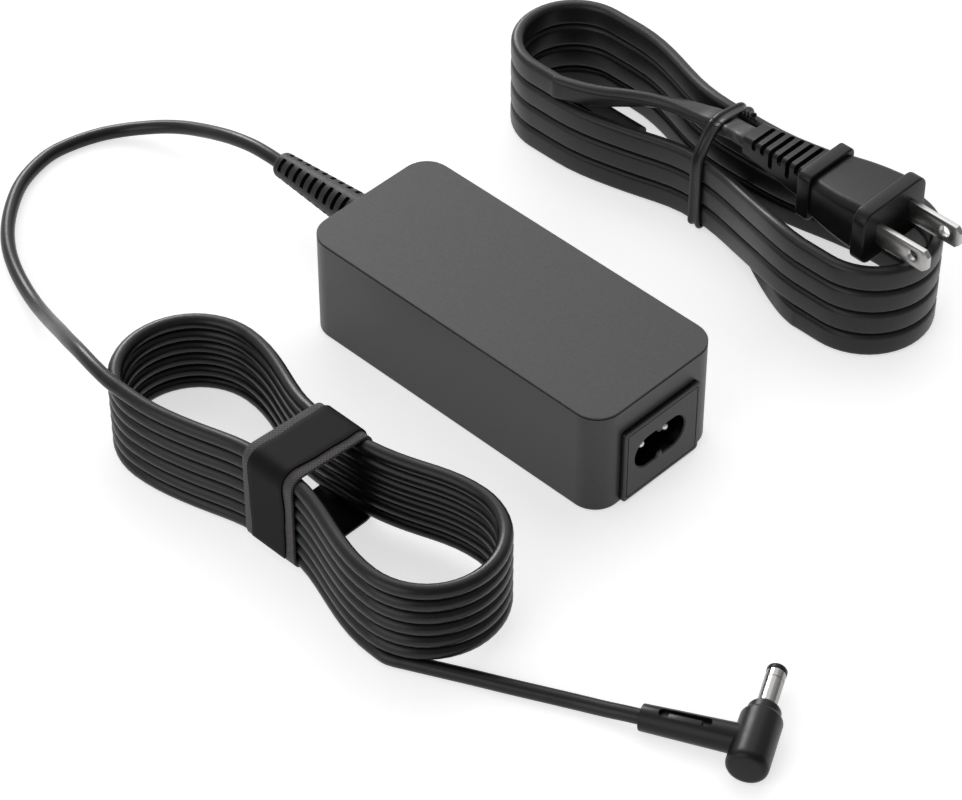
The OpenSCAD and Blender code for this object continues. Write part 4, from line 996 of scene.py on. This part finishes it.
def slotCutter(x, width, far, top, low, side, out=12):
    # an upside-down L across the top and down one side, its two ends rounded, and clear of
    # the sleeve outside
    bm = bmesh.new()
    loop = addLoop(bm, [(x - width / 2, y * side, z * side) for y, z in (
        (-out, out), (far, out), (far, top[1]), (-top[0], top[1]), (-top[0], low), (-out, low))])
    face = bmesh.ops.contextual_create(bm, geom=loop)["faces"]
    ends = bmesh.ops.extrude_face_region(bm, geom=face)["geom"]
    bmesh.ops.translate(bm, verts=[v for v in ends if isinstance(v, bmesh.types.BMVert)],
                        vec=(width, 0, 0))
    bmesh.ops.recalc_face_normals(bm, faces=bm.faces)
    tips = [e for e in bm.edges if abs(e.verts[0].co.x - e.verts[1].co.x) < 0.01 and (
        all(abs(v.co.y * side - far) < 0.01 for v in e.verts)
        or all(abs(v.co.z * side - low) < 0.01 for v in e.verts))]
    # a little under half the width, so that the two roundings of an end don't meet
    bmesh.ops.bevel(bm, geom=tips, offset=0.48 * width, offset_type="OFFSET", segments=5,
                    profile=0.5, affect="EDGES", clamp_overlap=True, material=-1)
    return asMesh(bm)


def makeSleeve():
    # a tapered sleeve with slots cut from two opposite corners
    c = plugSleeve
    tip, root = c["ends"]
    bm = bmesh.new()
    loft(bm, [[(x, u, v) for u, v in roundedSection(w, h, c["corner"], 5)]
              for x, (w, h) in ((tip, c["tip"]), (root, c["root"]))])
    cutters = []
    for k in range(c["slots"]):
        x = root - c["margin"] - c["slotWidth"] / 2 - k * c["pitch"]
        share = (x - tip) / (root - tip)
        w, h = (mix(a, b, share) for a, b in zip(c["tip"], c["root"]))
        reach = c["longReach"] if k in c["long"] else c["reach"]
        for side in (1, -1):
            cutters.append(slotCutter(x, c["slotWidth"], w / 2 - c["spine"],
                                      (c["core"][0] / 2, c["core"][1] / 2),
                                      max(h / 2 - reach, c["spine"] - h / 2), side))
    bm = combine(asMesh(bm), cutters, "DIFFERENCE")
    bmesh.ops.remove_doubles(bm, verts=bm.verts, dist=0.001)
    bmesh.ops.translate(bm, verts=bm.verts, vec=(0, *mainsPlug["face"][1:]))
    piece = addPiece("mains_plug_ribbed_sleeve", bm, "mains_lead", finishes["plug"],
                     "mains_plug_sleeve", sharp=30)
    return piece


mainsPlugPiece = makeMainsPlug()
plugSleevePiece = makeSleeve()

blade = {
    "size": (16.3, 6.35, 1.52),  # beyond the plug's face, high, thick
    "rooted": 5,  # inside the plug
    "pitch": 12.7,
    "hole": (11.4, 3.18),  # from the face, across
    "tipBevel": 1.4,
    "edge": 0.22,
}


def makeBlade(name, side, node):
    c = blade
    x0, y0, z0 = mainsPlug["face"]
    length, high, thick = c["size"]
    tip = c["tipBevel"]
    y = y0 + side * c["pitch"] / 2 - thick / 2
    bm = bmesh.new()
    outer = addLoop(bm, [(x0 + x, y, z0 + z) for x, z in (
        (-c["rooted"], -high / 2), (length - tip, -high / 2), (length, tip - high / 2),
        (length, high / 2 - tip), (length - tip, high / 2), (-c["rooted"], high / 2))])
    hole = addLoop(bm, [(x0 + c["hole"][0] + u, y, z0 + v)
                        for u, v in circle(c["hole"][1] / 2, 28)])
    bmesh.ops.triangle_fill(bm, use_beauty=True, use_dissolve=False, edges=outer + hole)
    made = bmesh.ops.extrude_face_region(bm, geom=bm.faces[:])["geom"]
    bmesh.ops.translate(bm, verts=[v for v in made if isinstance(v, bmesh.types.BMVert)],
                        vec=(0, thick, 0))
    soften(bm, c["edge"], 2, 60)
    piece = addPiece(name, bm, "mains_lead", finishes["blade"], node, sharp=25)
    return piece


bladePieces = [makeBlade("plug_blade_near_plate", -1, "plug_blade_near"),
               makeBlade("plug_blade_far_plate", 1, "plug_blade_far")]
print("mains plug made")

# barrel plug

barrelPlug = {
    "joint": (126.5, -51.7, 5.1),  # where the handle's middle line meets the head's
    "turn": 23.8,  # of the handle from +X, in degrees
    "lean": 3.9,  # of the head from square to the handle
    "tilt": 3.96,  # of the handle, down to the cord
    "headBack": 8.4,  # from the joint to the head's closed end
    "head": [  # (radius, height) along the head's own axis, from its closed end
        (0, 0), (3.5, 0.02), (4.1, 0.12), (4.6, 0.42), (4.95, 0.95), (5.08, 1.6), (5.1, 2.2),
        (5.1, 15), (5.04, 15.5), (4.86, 15.85), (4.55, 16.05), (4, 16.1), (4, 18.2),
        (3.98, 18.35), (3.86, 18.4), (3.86, 18.52), (3.8, 18.65), (3.5, 19.05), (3.3, 19.2),
        (2.5, 19.2), (2.5, 18.2), (0, 18.2),
    ],
    "tip": [  # the black ring over the barrel's end, as (radius, height)
        (2.43, 29.85), (2.46, 29.95), (2.46, 31.1), (2.3, 31.34), (2.0, 31.4), (1.3, 31.4),
        (1.3, 30.4), (2.3, 30.4), (2.3, 29.85), (2.43, 29.85),
    ],
    "handle": (6.5, 7.6, 26.8),  # width at the cord, at the head, length
    "handleEnd": [(-0.35, 0), (-0.1, 0.1), (0, 0.35)],  # its rounded edge, as (radius, height)
    "slot": (4.3, 12.7, 2.6, 1),  # start, length, width, depth
    "bar": (8, 1.75, 0.3),  # length, width, how far it is sunk
    "barEdge": 0.12,
    "steps": (64, 48),  # round the plug and the tip
}


def turned(profile, steps, place):
    bm = bmesh.new()
    spinProfile(bm, profile, steps)
    bmesh.ops.transform(bm, matrix=place, verts=bm.verts)
    return bm


def makeBarrelPlug():
    c = barrelPlug
    plugPlace = Matrix.Translation(c["joint"]) @ Matrix.Rotation(math.radians(c["turn"]), 4, "Z")
    thin, thick, length = c["handle"]
    handlePlace = (plugPlace @ Matrix.Rotation(math.radians(-c["tilt"]), 4, "Y")
                   @ Matrix.Translation((-length, 0, 0)))
    headPlace = (plugPlace @ Matrix.Rotation(math.radians(c["lean"]), 4, "Z")
                 @ Matrix.Translation((0, -c["headBack"], 0))
                 @ Matrix.Rotation(math.radians(-90), 4, "X"))
    start, slotLength, slotWidth, deep = c["slot"]
    floor = thin / 2 - deep
    steps, tipSteps = c["steps"]

    head = turned(c["head"], steps, headPlace)
    handle = turned([(0, 0), *((thin / 2 + r, z) for r, z in c["handleEnd"]),
                     (thick / 2, length), (0, length)], steps,
                    handlePlace @ Matrix.Rotation(math.radians(90), 4, "Y"))
    slot = bmesh.new()
    loft(slot, [[(start + slotLength / 2 + u, v, z) for u, v in roundedSection(
        slotLength, slotWidth, slotWidth / 2 - 0.01, 8)] for z in (floor, floor + 4)])
    bmesh.ops.transform(slot, matrix=handlePlace, verts=slot.verts)
    whole = combine(asMesh(head), [asMesh(handle)], "UNION")
    whole = combine(asMesh(whole), [asMesh(slot)], "DIFFERENCE")
    body = addPiece("barrel_plug_moulding", whole, "adapter", finishes["plug"],
                    "barrel_plug_body", sharp=38)

    # the bar stands in the slot, against one of its long sides
    barLength, barWidth, sunk = c["bar"]
    barBm = bmesh.new()
    made = bmesh.ops.create_cube(barBm, size=1)["verts"]
    bmesh.ops.scale(barBm, vec=(barLength, barWidth, deep - sunk), verts=made)
    bmesh.ops.translate(barBm, verts=made, vec=(
        start + slotLength / 2, barWidth / 2 - slotWidth / 2, floor + (deep - sunk) / 2))
    bmesh.ops.transform(barBm, matrix=handlePlace, verts=barBm.verts)
    soften(barBm, c["barEdge"])
    bar = addPiece("barrel_plug_bar", barBm, "adapter", finishes["plug"], "barrel_plug_slot_bar")

    tip = addPiece("barrel_tip", turned(c["tip"], tipSteps, headPlace), "adapter",
                   finishes["rim"], "barrel_insulator")
    return [body, bar, tip]


barrelPlugPieces = makeBarrelPlug()
print("barrel plug made")
